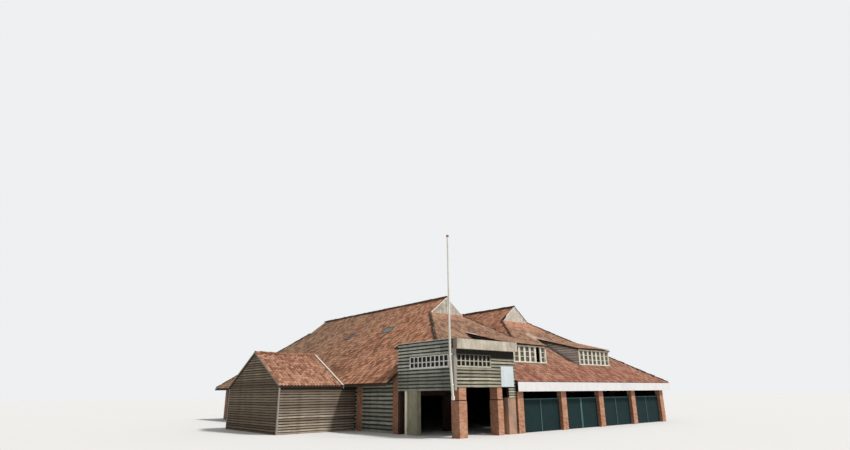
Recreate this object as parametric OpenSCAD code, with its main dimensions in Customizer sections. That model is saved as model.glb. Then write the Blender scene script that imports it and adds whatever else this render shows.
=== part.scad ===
// Old factory hall with two parallel tiled roofs that share one front slope and one rear slope.
// A timber-clad bay on brick pillars stands at the front left corner, and a low boarded annex
// leans against the left side. Lengths are in millimetres and angles in degrees.

/* [Hall] */
// Width of the hall over its side walls
hall_w = 24400; // [22000:100:28000]
// Length of the hall from the front pillars to the rear wall's outer face
hall_l = 35650; // [32000:50:38000]
// Height of the roof's edge at the eaves, on top of the tiles
eave_z = 3110; // [2950:10:3300]
// Thickness of the boarded walls between the brick piers
board_wall_t = 120; // [80:5:160]
// Width of a brick pier along its wall
pier_w = 560; // [400:10:700]
// Depth of a brick pier, square to its wall
pier_d = 360; // [300:10:450]

/* [Roof] */
// Pitch of the side slopes and of the rear slope
side_pitch = 38; // [35:0.5:40]
// Pitch of the long front slope
front_pitch = 30.5; // [29:0.5:31.5]
// Distance from a side wall's face to the ridge above it
ridge_inset = 7930; // [7600:10:8200]
// Upright thickness of the roof: tiles, battens and rafters
roof_t = 200; // [140:5:240]
// How far the side slopes reach past the side walls
side_eave = 980; // [800:10:1100]
// How far the front slope reaches past the pillars
front_eave = 250; // [200:10:300]
// How far the rear slope reaches past the rear wall
rear_eave = 600; // [400:10:800]
// Length of the larger roof light in the left slope
roof_light_l = 1150; // [800:10:1400]
// Height of the foot of the small gables under the ridge ends
gablet_z = 8650; // [8300:10:8900]

/* [Dormers] */
// Width of a dormer
dormer_w = 4300; // [3800:10:4600]
// How far a dormer's middle stands to the right of its ridge
dormer_shift = 1250; // [1000:10:1400]
// Height of the dormers' sills
dormer_sill_z = 4500; // [4400:10:4650]
// Height of the dormer roof's front edge
dormer_eave_z = 5790; // [5700:10:5850]
// Pitch of a dormer's roof
dormer_pitch = 14; // [12:0.5:15]

/* [Bay] */
// Width of the bay along the front
bay_w = 5270; // [5000:10:5400]
// Depth of the bay
bay_l = 5350; // [5000:10:5600]
// Top of the bay's side walls
bay_top = 5540; // [5400:10:5700]
// Underside of the left wall's boards
bay_low = 2600; // [2550:10:2700]
// Underside of the front wall's boards
bay_front_low = 2780; // [2740:10:2850]
// Thickness of the bay's walls
bay_wall_t = 150; // [100:5:180]
// Sill height of the bay's windows
bay_sill_z = 3900; // [3800:10:4000]
// Head height of the bay's windows
bay_head_z = 4660; // [4600:10:4750]
// Distance of the left windows from the bay's front
left_win_in = 420; // [300:10:600]
// Length of the strip of windows in the left wall
left_win_l = 3680; // [3000:10:3900]
// Length of the strip of windows in the front wall
front_win_l = 2920; // [2500:10:3000]
// Depth of the boxed fascia in front of the bay
canopy_d = 350; // [300:10:400]
// Height of the boxed fascia
canopy_h = 570; // [450:10:640]
// Width of the low boards at the bay's right end
low_boards_w = 650; // [500:10:700]
// How far the low boards reach below the others
low_boards_h = 630; // [500:10:700]
// Width of the blank notice board
notice_w = 1170; // [900:10:1300]
// Height of the blank notice board
notice_h = 1240; // [1000:10:1400]

/* [Bay supports] */
// Width of the brick pillar at the bay's front left
corner_pillar_w = 580; // [450:10:700]
// How far that pillar stands in from the bay's left face
corner_pillar_in = 320; // [250:10:400]
// Width of the middle brick pillar
mid_pillar_w = 440; // [350:10:600]
// Distance of the middle pillar's left face from the bay's right face
mid_pillar_in = 1690; // [1600:10:1900]
// Depth of both brick pillars
bay_pillar_d = 620; // [450:10:800]
// Width of the rendered pier under the low boards
low_pier_w = 700; // [550:10:740]
// Depth of the rendered pier under the low boards
low_pier_d = 400; // [300:10:600]
// Width of the rendered pier under the left wall
side_pier_w = 800; // [600:10:900]
// Distance of that pier from the bay's front
side_pier_y = 3420; // [3000:10:3500]
// Width of the doorway at the back of the covered way
doorway_w = 2300; // [1800:50:2600]
// Height of that doorway
doorway_h = 2300; // [2100:50:2450]

/* [Front] */
// Height of the white eaves board's lower edge
fascia_low = 2510; // [2450:10:2600]
// Height of the boarded infill between the pillars
infill_h = 2060; // [1800:10:2200]
// Height of the flagpole's top
pole_top = 11760; // [10000:10:12500]
// Diameter of the flagpole
pole_d = 150; // [120:5:170]
// Diameter of the pole at its top
pole_top_d = 90; // [70:5:110]
// How far the pole is bent over to the back left
pole_bend = 115; // [0:5:135]
// Height of the bend above the ground
pole_bend_z = 4240; // [3800:20:4900]

/* [Annex] */
// Length of the annex, from its left gable to the hall's wall
annex_l = 5800; // [5000:50:6400]
// Distance of the annex's front wall from the hall's front
annex_y = 10480; // [10000:20:12000]
// Depth of the annex over its walls
annex_d = 8540; // [7500:20:9000]
// Height of the annex's eaves, on top of the tiles
annex_eave_z = 3030; // [2950:10:3060]
// Pitch of the annex's roof
annex_pitch = 28.5; // [26:0.5:31]

/* [Hidden] */
// Slopes as rise over run
ts = tan(side_pitch);
tf = tan(front_pitch);
td = tan(dormer_pitch);
ta = tan(annex_pitch);

// Ridges, valley and eaves lines
ridge_l = ridge_inset;
ridge_r = hall_w - ridge_inset;
valley_x = hall_w / 2;
ridge_z = eave_z + (ridge_inset + side_eave) * ts;
valley_z = ridge_z - (valley_x - ridge_l) * ts;
eave_l = -side_eave;
eave_r = hall_w + side_eave;
eave_f = -front_eave;
eave_b = hall_l + rear_eave;

// Places on the slopes
function left_z(x) = eave_z + (x - eave_l) * ts;
function front_z(y) = eave_z + (y - eave_f) * tf;
function rear_z(y) = eave_z + (eave_b - y) * ts;
function front_y(z) = eave_f + (z - eave_z) / tf;
function rear_y(z) = eave_b - (z - eave_z) / ts;
gablet_w = 2 * (ridge_z - gablet_z) / ts;
gablet_f = front_y(gablet_z);
gablet_b = rear_y(gablet_z);

// Roof slabs are cut square to the ground, so a slab's foot is this far below its top
far = 60000;

// Wall plates and fascias
board = 30;
beam_d = 300;
wall_gap = (pier_d - board_wall_t) / 2;

// Bay
bay_roof_z = bay_top - 100;
canopy_side = 60;
canopy_z = bay_top - 20 - canopy_h;
notice_in = 170;
notice_t = 35;
low_pier_in = 30;
porch_wall_t = 230;
porch_door_x = (bay_w - doorway_w) / 2;
joist_n = 9;
joist_w = 80;
joist_h = 160;
capping_t = 25;
trim_w = 100;
trim_t = 25;
glass_t = 6;
frame_w = 60;
frame_out = 20;
frame_d = 110;

// Flagpole, standing off the bay's front left corner
pole_out = 195;
pole_x = -canopy_side - pole_out;
pole_y = -120;
pole_z = bay_low - 530;
knob_d = 180;
bracket = 60;
shoe_h = 230;
lean_to = 140;

// Dormers
dormer_x = [ridge_l + dormer_shift - dormer_w / 2, ridge_r + dormer_shift - dormer_w / 2];
dormer_y = front_y(dormer_sill_z - 60);
dormer_roof_t = 110;
dormer_rim = 120;
dormer_wall_t = 60;
dormer_front_d = 100;
dormer_side_w = 90;
dormer_units = 7;
dormer_glass_in = 45;
dormer_side_y = dormer_y + dormer_front_d;
// Where a dormer's roof runs into the front slope
dormer_back_y = (dormer_eave_z - eave_z + eave_f * tf - (dormer_y - dormer_rim) * td) / (tf - td);
function dormer_z(y) = dormer_eave_z + (y - (dormer_y - dormer_rim)) * td;

// Front pillars
pillar_n = 5;
pillar_gap = 180;
pillar_first = bay_w + pillar_gap + pier_w / 2;
pillar_step = (hall_w - pier_w / 2 - pillar_first) / (pillar_n - 1);
function pillar_x(i) = pillar_first + i * pillar_step;

// Piers along the other sides
left_n = 8;
left_step = (hall_l - pier_w - bay_l) / (left_n - 1);
right_n = 9;
right_step = (hall_l - pier_w) / (right_n - 1);
rear_n = 7;
rear_step = (hall_w - pier_w) / (rear_n - 1);

// Annex
annex_left = -annex_l;
annex_rim = 100;
annex_right = eave_l - board;
annex_rear = annex_y + annex_d;
annex_mid = annex_y + annex_d / 2;
annex_roof_t = 130;
annex_eave_f = annex_y - annex_rim;
annex_ridge_z = annex_eave_z + (annex_mid - annex_eave_f) * ta;
annex_wall_z = annex_eave_z + annex_rim * ta - annex_roof_t;

// Origin at the middle of the whole footprint, on the ground
mid_x = (annex_left - annex_rim - board + eave_r) / 2;
mid_y = (-canopy_d + eave_b) / 2;

// A roof slab: its cross-section runs along one axis and is cut to its outline in plan
module along_y(y0, y1) {
    translate([0, y1, 0])
        rotate([90, 0, 0])
            linear_extrude(y1 - y0)
                children();
}

module along_x(x0, x1) {
    translate([x0, 0, 0])
        rotate([90, 0, 90])
            linear_extrude(x1 - x0)
                children();
}

module plan(outline) {
    linear_extrude(ridge_z + 1000)
        polygon(outline);
}

// Cross-section of a sloping slab between two points
module strip(a, b, t) {
    polygon([a, b, [b[0], b[1] - t], [a[0], a[1] - t]]);
}

// Room taken by the bay, left out of the hall's roof
module bay_room() {
    translate([-side_eave - 10, eave_f - 10, 0])
        cube([side_eave + bay_w + 10, bay_l + front_eave + 10, bay_top]);
}

module left_roof_slope() {
    color("#9a6b52")
        difference() {
            intersection() {
                along_y(eave_f, eave_b)
                    strip([eave_l, eave_z], [ridge_l, ridge_z], roof_t);
                plan([
                    [eave_l, eave_f],
                    [ridge_l - gablet_w / 2, gablet_f],
                    [ridge_l, gablet_f],
                    [ridge_l, gablet_b],
                    [ridge_l - gablet_w / 2, gablet_b],
                    [eave_l, eave_b]
                ]);
            }
            bay_room();
            for (p = roof_light_places)
                roof_light_room(p);
        }
}

module right_roof_slope() {
    color("#9a6b52")
        intersection() {
            along_y(eave_f, eave_b)
                strip([ridge_r, ridge_z], [eave_r, eave_z], roof_t);
            plan([
                [eave_r, eave_f],
                [ridge_r + gablet_w / 2, gablet_f],
                [ridge_r, gablet_f],
                [ridge_r, gablet_b],
                [ridge_r + gablet_w / 2, gablet_b],
                [eave_r, eave_b]
            ]);
        }
}

module left_inner_slope() {
    color("#8f634c")
        intersection() {
            along_y(eave_f, eave_b)
                strip([ridge_l, ridge_z], [valley_x, valley_z], roof_t);
            plan([
                [ridge_l, gablet_f],
                [ridge_l + gablet_w / 2, gablet_f],
                [valley_x, front_y(valley_z)],
                [valley_x, rear_y(valley_z)],
                [ridge_l + gablet_w / 2, gablet_b],
                [ridge_l, gablet_b]
            ]);
        }
}

module right_inner_slope() {
    color("#8f634c")
        intersection() {
            along_y(eave_f, eave_b)
                strip([valley_x, valley_z], [ridge_r, ridge_z], roof_t);
            plan([
                [ridge_r, gablet_f],
                [ridge_r - gablet_w / 2, gablet_f],
                [valley_x, front_y(valley_z)],
                [valley_x, rear_y(valley_z)],
                [ridge_r - gablet_w / 2, gablet_b],
                [ridge_r, gablet_b]
            ]);
        }
}

// The front slope is one plane across both roofs, open under the dormers
module front_roof_slope() {
    color("#a8604c")
        difference() {
            intersection() {
                along_x(eave_l, eave_r)
                    strip([eave_f, eave_z], [gablet_f, gablet_z], roof_t);
                plan([
                    [eave_l, eave_f],
                    [ridge_l - gablet_w / 2, gablet_f],
                    [ridge_l + gablet_w / 2, gablet_f],
                    [valley_x, front_y(valley_z)],
                    [ridge_r - gablet_w / 2, gablet_f],
                    [ridge_r + gablet_w / 2, gablet_f],
                    [eave_r, eave_f]
                ]);
            }
            bay_room();
            for (x = dormer_x)
                translate([x + 100, dormer_y + 2 * dormer_front_d, 0])
                    cube([dormer_w - 200, dormer_back_y - dormer_y - 1200, ridge_z]);
        }
}

module rear_roof_slope() {
    color("#9a6b52")
        intersection() {
            along_x(eave_l, eave_r)
                strip([gablet_b, gablet_z], [eave_b, eave_z], roof_t);
            plan([
                [eave_l, eave_b],
                [ridge_l - gablet_w / 2, gablet_b],
                [ridge_l + gablet_w / 2, gablet_b],
                [valley_x, rear_y(valley_z)],
                [ridge_r - gablet_w / 2, gablet_b],
                [ridge_r + gablet_w / 2, gablet_b],
                [eave_r, eave_b]
            ]);
        }
}

// Angled capping tiles over a ridge
cap_w = 170;
cap_t = 55;
module ridge_cap(t) {
    polygon([
        [0, cap_t],
        [cap_w, cap_t - cap_w * t],
        [cap_w, -cap_w * t],
        [0, 0],
        [-cap_w, -cap_w * t],
        [-cap_w, cap_t - cap_w * t]
    ]);
}

module ridge_tiles() {
    color("#6d5547") {
        for (x = [ridge_l, ridge_r])
            translate([x, 0, ridge_z])
                along_y(gablet_f, gablet_b)
                    ridge_cap(ts);
        translate([0, annex_mid, annex_ridge_z])
            along_x(annex_left - annex_rim, annex_right)
                ridge_cap(ta);
    }
}

// Sheet lining of the valley between the two roofs
module valley_gutter() {
    w = 150;
    color("#6b6e70")
        translate([valley_x, 0, valley_z])
            along_y(front_y(valley_z) + 200, rear_y(valley_z) - 200)
                polygon([[-w, w * ts], [0, 0], [w, w * ts], [w, w * ts + 12], [0, 12], [-w, w * ts + 12]]);
}

// Space below the slopes that meet at a hip
module under_sides(x_edge, dir) {
    along_y(-far, far)
        polygon([
            [x_edge - dir * far, eave_z - far * ts],
            [x_edge + dir * far, eave_z + far * ts],
            [x_edge + dir * far, -far * 2],
            [x_edge - dir * far, -far * 2]
        ]);
}

module under_ends(y_edge, dir, t) {
    along_x(-far, far)
        polygon([
            [y_edge - dir * far, eave_z - far * t],
            [y_edge + dir * far, eave_z + far * t],
            [y_edge + dir * far, -far * 2],
            [y_edge - dir * far, -far * 2]
        ]);
}

// A half-round row of hip tiles from a to b, bedded on both slopes
hip_r = 110;
module hip_bar(a, b) {
    d = b - a;
    run = norm([d[0], d[1]]);
    translate(a)
        rotate([0, atan2(run, d[2]), atan2(d[1], d[0])])
            cylinder(h = norm(d), r = hip_r, $fn = 32);
}

module hip_tiles() {
    color("#8c8378")
        intersection() {
            translate([eave_l, eave_f, 0])
                cube([eave_r - eave_l, eave_b - eave_f, ridge_z]);
            hip_rows();
        }
}
function left_hip_x(z) = eave_l + (z - eave_z) / ts;

module hip_rows() {
    gz = gablet_z;
    union() {
        // Front left hip, down to the bay's flat roof
        difference() {
            hip_bar(
                [left_hip_x(bay_top), front_y(bay_top), bay_top],
                [ridge_l - gablet_w / 2, gablet_f, gz]
            );
            intersection() {
                under_sides(eave_l, 1);
                under_ends(eave_f, 1, tf);
            }
            translate([-far / 2, -far / 2, bay_top - far])
                cube(far);
            translate([0, gablet_f, 0])
                cube(far);
        }
        // Front right hip, down to the eaves
        difference() {
            hip_bar([eave_r, eave_f, eave_z], [ridge_r + gablet_w / 2, gablet_f, gz]);
            intersection() {
                under_sides(eave_r, -1);
                under_ends(eave_f, 1, tf);
            }
        }
        // Rear hips
        for (side = [0, 1])
            difference() {
                hip_bar(
                    [side ? eave_r : eave_l, eave_b, eave_z],
                    [side ? ridge_r + gablet_w / 2 : ridge_l - gablet_w / 2, gablet_b, gz]
                );
                intersection() {
                    under_sides(side ? eave_r : eave_l, side ? -1 : 1);
                    under_ends(eave_b, -1, ts);
                }
            }
    }
}

// Small upright gables closing the four ridge ends
gablet_wall_t = 80;
module gablet_walls() {
    color("#c9c0ad")
        for (x = [ridge_l, ridge_r])
            for (y = [gablet_f, gablet_b - gablet_wall_t])
                along_y(y, y + gablet_wall_t)
                    polygon([
                        [x - gablet_w / 2, gablet_z - roof_t],
                        [x, ridge_z - roof_t],
                        [x + gablet_w / 2, gablet_z - roof_t]
                    ]);
}

// Boards that edge a gable: down both slopes and, under the ridge ends, across the foot
barge_w = 230;
module bargeboards() {
    color("#e6e1d6") {
        for (x = [ridge_l, ridge_r])
            for (y = [gablet_f - board, gablet_b])
                along_y(y, y + board)
                    difference() {
                        polygon([
                            [x - gablet_w / 2, gablet_z],
                            [x, ridge_z],
                            [x + gablet_w / 2, gablet_z]
                        ]);
                        polygon([
                            [x - gablet_w / 2 + (barge_w + barge_w / 2) / ts, gablet_z + barge_w / 2],
                            [x, ridge_z - barge_w],
                            [x + gablet_w / 2 - (barge_w + barge_w / 2) / ts, gablet_z + barge_w / 2]
                        ]);
                    }
        for (x = [annex_left - annex_rim - board, annex_right])
            along_x(x, x + board)
                polygon([
                    [annex_eave_f, annex_eave_z + 20],
                    [annex_mid, annex_ridge_z + 20],
                    [annex_rear + annex_rim, annex_eave_z + 20],
                    [annex_rear + annex_rim, annex_eave_z + 20 - barge_w],
                    [annex_mid, annex_ridge_z + 20 - barge_w],
                    [annex_eave_f, annex_eave_z + 20 - barge_w]
                ]);
    }
}

// Roof of a dormer, flatter than the slope it grows out of
module dormer_roofs() {
    color("#a8604c")
        for (x = dormer_x)
            difference() {
                along_x(x - dormer_rim, x + dormer_w + dormer_rim)
                    strip(
                        [dormer_y - dormer_rim, dormer_eave_z],
                        [dormer_back_y, dormer_z(dormer_back_y)],
                        dormer_roof_t
                    );
                under_ends(eave_f, 1, tf);
            }
}

module dormer_cheeks() {
    color("#7d7a6e")
        for (x = dormer_x)
            for (cx = [x, x + dormer_w - dormer_wall_t])
                difference() {
                    along_x(cx, cx + dormer_wall_t)
                        strip(
                            [dormer_side_y, dormer_z(dormer_side_y) - dormer_roof_t],
                            [dormer_back_y, dormer_z(dormer_back_y) - dormer_roof_t],
                            2000
                        );
                    under_ends(eave_f, 1, tf);
                }
}

// Front of a dormer: sill, end posts and head round the window opening
dormer_head_z = dormer_z(dormer_y) - dormer_roof_t;
dormer_win_z = dormer_sill_z + 40;
dormer_win_h = dormer_head_z - 80 - dormer_win_z;
dormer_win_w = dormer_w - 2 * dormer_side_w;
dormer_unit_w = dormer_win_w / dormer_units;
module dormer_front_outline(x) {
    difference() {
        along_y(dormer_y, dormer_y + dormer_front_d)
            polygon([
                [x, dormer_sill_z - 160],
                [x + dormer_w, dormer_sill_z - 160],
                [x + dormer_w, dormer_head_z],
                [x, dormer_head_z]
            ]);
        under_ends(eave_f, 1, tf);
    }
}

module dormer_frames() {
    color("#ddd8c8")
        for (x = dormer_x) {
            difference() {
                dormer_front_outline(x);
                translate([x + dormer_side_w, dormer_y - 10, dormer_win_z])
                    cube([dormer_win_w, 2 * dormer_front_d, dormer_win_h]);
            }
            // Posts between the window units
            for (i = [1 : dormer_units - 1])
                translate([x + dormer_side_w + i * dormer_unit_w - 35, dormer_y, dormer_win_z])
                    cube([70, dormer_glass_in, dormer_win_h]);
            // Sill board
            translate([x - 40, dormer_y - 50, dormer_sill_z - 10])
                cube([dormer_w + 80, 50, 50]);
        }
}

module dormer_glass() {
    color("#39464c")
        for (x = dormer_x)
            translate([x + dormer_side_w, dormer_y + dormer_glass_in, dormer_win_z])
                cube([dormer_win_w, glass_t, dormer_win_h]);
}

// Two glass lights in the left slope: centre along the hall, distance up the slope in plan, sizes
roof_light_places = [
    [0.36 * hall_l, 0.58 * ridge_inset, roof_light_l, roof_light_l / 2],
    [0.519 * hall_l, 0.567 * ridge_inset, roof_light_l / 2, roof_light_l / 2]
];

module roof_light_room(p) {
    translate([p[1] - p[3] / 2, p[0] - p[2] / 2, 0])
        cube([p[3], p[2], ridge_z]);
}

module roof_lights() {
    color("#2f3b40")
        for (p = roof_light_places)
            intersection() {
                along_y(0, hall_l)
                    strip([eave_l, eave_z + 25], [ridge_l, ridge_z + 25], 60);
                roof_light_room(p);
            }
}

module eaves_board() {
    color("#f2eff0")
        translate([bay_w, eave_f - board, fascia_low])
            cube([eave_r - bay_w, board, eave_z - 20 - fascia_low]);
}

// Beam over the front pillars, with a soffit out to the eaves board
module eaves_beam() {
    color("#b9b2a2") {
        along_x(bay_w, hall_w)
            polygon([
                [0, fascia_low],
                [beam_d, fascia_low],
                [beam_d, front_z(beam_d) - roof_t],
                [0, front_z(0) - roof_t]
            ]);
        translate([bay_w, eave_f, fascia_low])
            cube([hall_w - bay_w, front_eave, 20]);
    }
}

module front_pillars() {
    color("#b5654c")
        for (i = [0 : pillar_n - 1])
            translate([pillar_x(i) - pier_w / 2, 0, 0])
                cube([pier_w, pier_d, fascia_low]);
}

// Framed infill between two pillars: a panel, a rail on top and a middle post
module infill_panels() {
    w = pillar_step - pier_w;
    color("#2f6a62")
        for (i = [0 : pillar_n - 2])
            translate([pillar_x(i) + pier_w / 2, pier_d - 120, 0]) {
                translate([0, 20, 0])
                    cube([w, 40, infill_h]);
                translate([0, 0, infill_h - 60])
                    cube([w, 80, 60]);
                translate([w / 2 - 30, 0, 0])
                    cube([60, 80, infill_h]);
            }
}

// Boarded wall panels between brick piers, up to the underside of the roof
module left_wall() {
    color("#7f7c70")
        for (i = [0 : left_n - 2])
            along_y(bay_l + i * left_step + pier_w, bay_l + (i + 1) * left_step)
                polygon([
                    [wall_gap, 0],
                    [wall_gap + board_wall_t, 0],
                    [wall_gap + board_wall_t, left_z(wall_gap + board_wall_t) - roof_t],
                    [wall_gap, left_z(wall_gap) - roof_t]
                ]);
}

module right_wall() {
    color("#7f7c70")
        difference() {
            for (i = [0 : right_n - 2])
                translate([hall_w, 0, 0])
                    mirror([1, 0, 0])
                        along_y(i * right_step + pier_w, (i + 1) * right_step)
                            polygon([
                                [wall_gap, 0],
                                [wall_gap + board_wall_t, 0],
                                [wall_gap + board_wall_t, left_z(wall_gap + board_wall_t) - roof_t],
                                [wall_gap, left_z(wall_gap) - roof_t]
                            ]);
            translate([0, 0, -roof_t])
                above_front();
        }
}

module rear_wall() {
    color("#7f7c70")
        for (i = [0 : rear_n - 2])
            along_x(i * rear_step + pier_w, (i + 1) * rear_step)
                polygon([
                    [hall_l - wall_gap, 0],
                    [hall_l - wall_gap - board_wall_t, 0],
                    [hall_l - wall_gap - board_wall_t, rear_z(hall_l - wall_gap - board_wall_t) - roof_t],
                    [hall_l - wall_gap, rear_z(hall_l - wall_gap) - roof_t]
                ]);
}

module side_pier_outline() {
    polygon([[0, 0], [pier_d, 0], [pier_d, left_z(pier_d) - roof_t], [0, left_z(0) - roof_t]]);
}

module wall_piers() {
    color("#a55c47") {
        // Left side
        for (i = [0 : left_n - 2])
            along_y(bay_l + i * left_step, bay_l + i * left_step + pier_w)
                side_pier_outline();
        // Right side, behind the front corner pillar
        for (i = [1 : right_n - 2])
            translate([hall_w, 0, 0])
                mirror([1, 0, 0])
                    along_y(i * right_step, i * right_step + pier_w)
                        side_pier_outline();
        // Rear, with both corners
        for (i = [0 : rear_n - 1])
            translate([i * rear_step, 0, 0])
                difference() {
                    translate([0, hall_l - pier_w, 0])
                        cube([pier_w, pier_w, eave_z + 800]);
                    if (i > 0 && i < rear_n - 1)
                        translate([-10, hall_l - pier_w - 10, -10])
                            cube([pier_w + 20, pier_w - pier_d + 10, eave_z + 1000]);
                    translate([0, 0, -roof_t])
                        above_rear();
                    if (i == 0)
                        translate([0, 0, -roof_t])
                            above_left();
                    if (i == rear_n - 1)
                        translate([pier_w, 0, -roof_t])
                            mirror([1, 0, 0])
                                above_left();
                }
    }
}

// Space above a slope
module above_front() {
    along_x(-far, far)
        polygon([
            [eave_f - 1000, front_z(eave_f - 1000)],
            [gablet_f, gablet_z],
            [gablet_f, far],
            [eave_f - 1000, far]
        ]);
}

module above_rear() {
    along_x(-far, far)
        polygon([
            [eave_b + 1000, rear_z(eave_b + 1000)],
            [gablet_b, gablet_z],
            [gablet_b, far],
            [eave_b + 1000, far]
        ]);
}

module above_left() {
    along_y(-far, far)
        polygon([
            [eave_l - 1000, left_z(eave_l - 1000)],
            [ridge_l, ridge_z],
            [ridge_l, far],
            [eave_l - 1000, far]
        ]);
}

// Row of timber posts and a beam that carry the valley between the two roofs
module valley_frame() {
    y0 = front_y(valley_z) + 300;
    y1 = rear_y(valley_z) - 300;
    top = valley_z - roof_t;
    color("#6b5a48") {
        along_y(y0, y1)
            polygon([
                [valley_x - 150, top - 300],
                [valley_x + 150, top - 300],
                [valley_x + 150, top + 150 * ts],
                [valley_x, top],
                [valley_x - 150, top + 150 * ts]
            ]);
        for (i = [0 : 6])
            translate([valley_x - 130, y0 + i * (y1 - y0 - 260) / 6, 0])
                cube([260, 260, top - 290]);
    }
}

// Bay walls, with holes for the strips of windows
left_win = [left_win_in, left_win_in + left_win_l];
front_win = [bay_wall_t + 10, bay_wall_t + 10 + front_win_l];

module bay_left_wall() {
    color("#8d8c7a")
        difference() {
            translate([0, 0, bay_low])
                cube([bay_wall_t, bay_l, bay_top - bay_low]);
            translate([-10, left_win[0], bay_sill_z])
                cube([bay_wall_t + 20, left_win[1] - left_win[0], bay_head_z - bay_sill_z]);
        }
}

module bay_front_wall() {
    color("#8d8c7a")
        difference() {
            union() {
                translate([bay_wall_t, 0, bay_front_low])
                    cube([bay_w - bay_wall_t, bay_wall_t, bay_roof_z - bay_front_low]);
                translate([bay_w - low_boards_w, 0, bay_front_low - low_boards_h])
                    cube([low_boards_w, bay_wall_t, low_boards_h + 100]);
            }
            translate([front_win[0], -10, bay_sill_z])
                cube([front_win[1] - front_win[0], bay_wall_t + 20, bay_head_z - bay_sill_z]);
        }
}

module bay_right_wall() {
    color("#8d8c7a")
        translate([bay_w - bay_wall_t, bay_wall_t, bay_front_low])
            cube([bay_wall_t, bay_l - bay_wall_t, bay_top - bay_front_low]);
}

module bay_rear_wall() {
    color("#8d8c7a")
        translate([bay_wall_t, bay_l - bay_wall_t, bay_front_low])
            cube([bay_w - 2 * bay_wall_t, bay_wall_t, bay_top - bay_front_low]);
}

// Floor boards of the bay on their joists
module bay_floor() {
    step = (bay_w - 2 * bay_wall_t - joist_w) / (joist_n - 1);
    color("#6f6557") {
        translate([bay_wall_t, bay_wall_t, bay_front_low + joist_h])
            cube([bay_w - 2 * bay_wall_t, bay_l - 2 * bay_wall_t, 40]);
        for (i = [0 : joist_n - 1])
            translate([bay_wall_t + i * step, bay_wall_t, bay_front_low])
                cube([joist_w, bay_l - 2 * bay_wall_t, joist_h]);
    }
}

// Flat roof between the walls, over the front wall and out to the fascia
module bay_roof() {
    color("#5a5650")
        translate([0, 0, bay_roof_z])
            linear_extrude(bay_top - bay_roof_z)
                polygon([
                    [board - canopy_side, board - canopy_d],
                    [bay_w - board, board - canopy_d],
                    [bay_w - board, 0],
                    [bay_w, 0],
                    [bay_w, bay_wall_t],
                    [bay_w - bay_wall_t, bay_wall_t],
                    [bay_w - bay_wall_t, bay_l - bay_wall_t],
                    [bay_wall_t, bay_l - bay_wall_t],
                    [bay_wall_t, 0],
                    [board - canopy_side, 0]
                ]);
}

// Boxed fascia round the front of the bay's roof
module bay_fascia() {
    color("#cfc4ae") {
        difference() {
            translate([-canopy_side, -canopy_d, canopy_z])
                cube([bay_w + canopy_side, canopy_d, canopy_h]);
            translate([board - canopy_side, board - canopy_d, canopy_z + 20])
                cube([bay_w + canopy_side - 2 * board, canopy_d, canopy_h]);
        }
        // Closes the box beside the wall's corner
        translate([board - canopy_side, -board, canopy_z])
            cube([canopy_side - board, board, bay_roof_z - canopy_z]);
    }
}

// Sheet capping on the left wall
module bay_capping() {
    color("#4c4a46")
        translate([-board, 0, bay_top])
            cube([bay_wall_t + 2 * board, bay_l, capping_t]);
}

module bay_corner_boards() {
    color("#9b998c")
        difference() {
            translate([-trim_t, -trim_t, bay_low])
                cube([trim_t + trim_w, trim_t + trim_w, canopy_z - bay_low]);
            translate([0, 0, bay_low - 10])
                cube([2 * trim_w, 2 * trim_w, canopy_z]);
        }
}

// A window frame standing in its hole, a little proud of the boards
module ring_frame(w, h, t, d) {
    difference() {
        cube([w, d, h]);
        translate([t, -10, t])
            cube([w - 2 * t, d + 20, h - 2 * t]);
    }
}

module bay_window_frames() {
    h = bay_head_z - bay_sill_z;
    color("#ddd8c8") {
        translate([front_win[0], -frame_out, bay_sill_z])
            ring_frame(front_win[1] - front_win[0], h, frame_w, frame_d);
        translate([-frame_out, left_win[1], bay_sill_z])
            rotate([0, 0, -90])
                ring_frame(left_win[1] - left_win[0], h, frame_w, frame_d);
    }
}

module bay_glass() {
    h = bay_head_z - bay_sill_z - 2 * frame_w;
    color("#39464c") {
        translate([front_win[0] + frame_w, 2 * frame_out, bay_sill_z + frame_w])
            cube([front_win[1] - front_win[0] - 2 * frame_w, glass_t, h]);
        translate([2 * frame_out, left_win[0] + frame_w, bay_sill_z + frame_w])
            cube([glass_t, left_win[1] - left_win[0] - 2 * frame_w, h]);
    }
}

module notice_board() {
    color("#dfe3e4")
        translate([bay_w - notice_in - notice_w, -notice_t, bay_front_low + 20])
            cube([notice_w, notice_t, notice_h]);
}

// Brick pillars under the bay's front, a little wider below the level of the infill's top
foot_out = 20;
module bay_pillar(w, d) {
    cube([w, d, bay_front_low]);
    translate([-foot_out, -foot_out, 0])
        cube([w + 2 * foot_out, d + 2 * foot_out, infill_h - 50]);
}

module bay_pillars() {
    color("#b5654c") {
        translate([corner_pillar_in, 0, 0])
            bay_pillar(corner_pillar_w, bay_pillar_d);
        translate([bay_w - mid_pillar_in, 0, 0])
            bay_pillar(mid_pillar_w, bay_pillar_d);
    }
}

// Rendered piers under the low boards at the right and under the left wall
module rendered_piers() {
    color("#b8ab95") {
        translate([bay_w - low_pier_in - low_pier_w, 0, 0])
            cube([low_pier_w, low_pier_d, bay_front_low - low_boards_h]);
        translate([0, side_pier_y, 0])
            cube([300, side_pier_w, bay_low]);
    }
}

// White timber post beside the left pier
module bay_post() {
    color("#e6e1d6")
        translate([0, side_pier_y + side_pier_w + 230, 0])
            cube([200, 200, bay_low]);
}

// Brick wall at the back of the covered way, with a wide doorway into the hall
module porch_wall() {
    color("#a55c47")
        difference() {
            translate([0, bay_l - porch_wall_t, 0])
                cube([bay_w, porch_wall_t, bay_low]);
            translate([porch_door_x, bay_l - porch_wall_t - 10, -10])
                cube([doorway_w, porch_wall_t + 20, doorway_h + 10]);
        }
    color("#a55c47")
        translate([bay_wall_t, bay_l - porch_wall_t, bay_low])
            cube([bay_w - bay_wall_t, porch_wall_t, bay_front_low - bay_low]);
}

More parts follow.
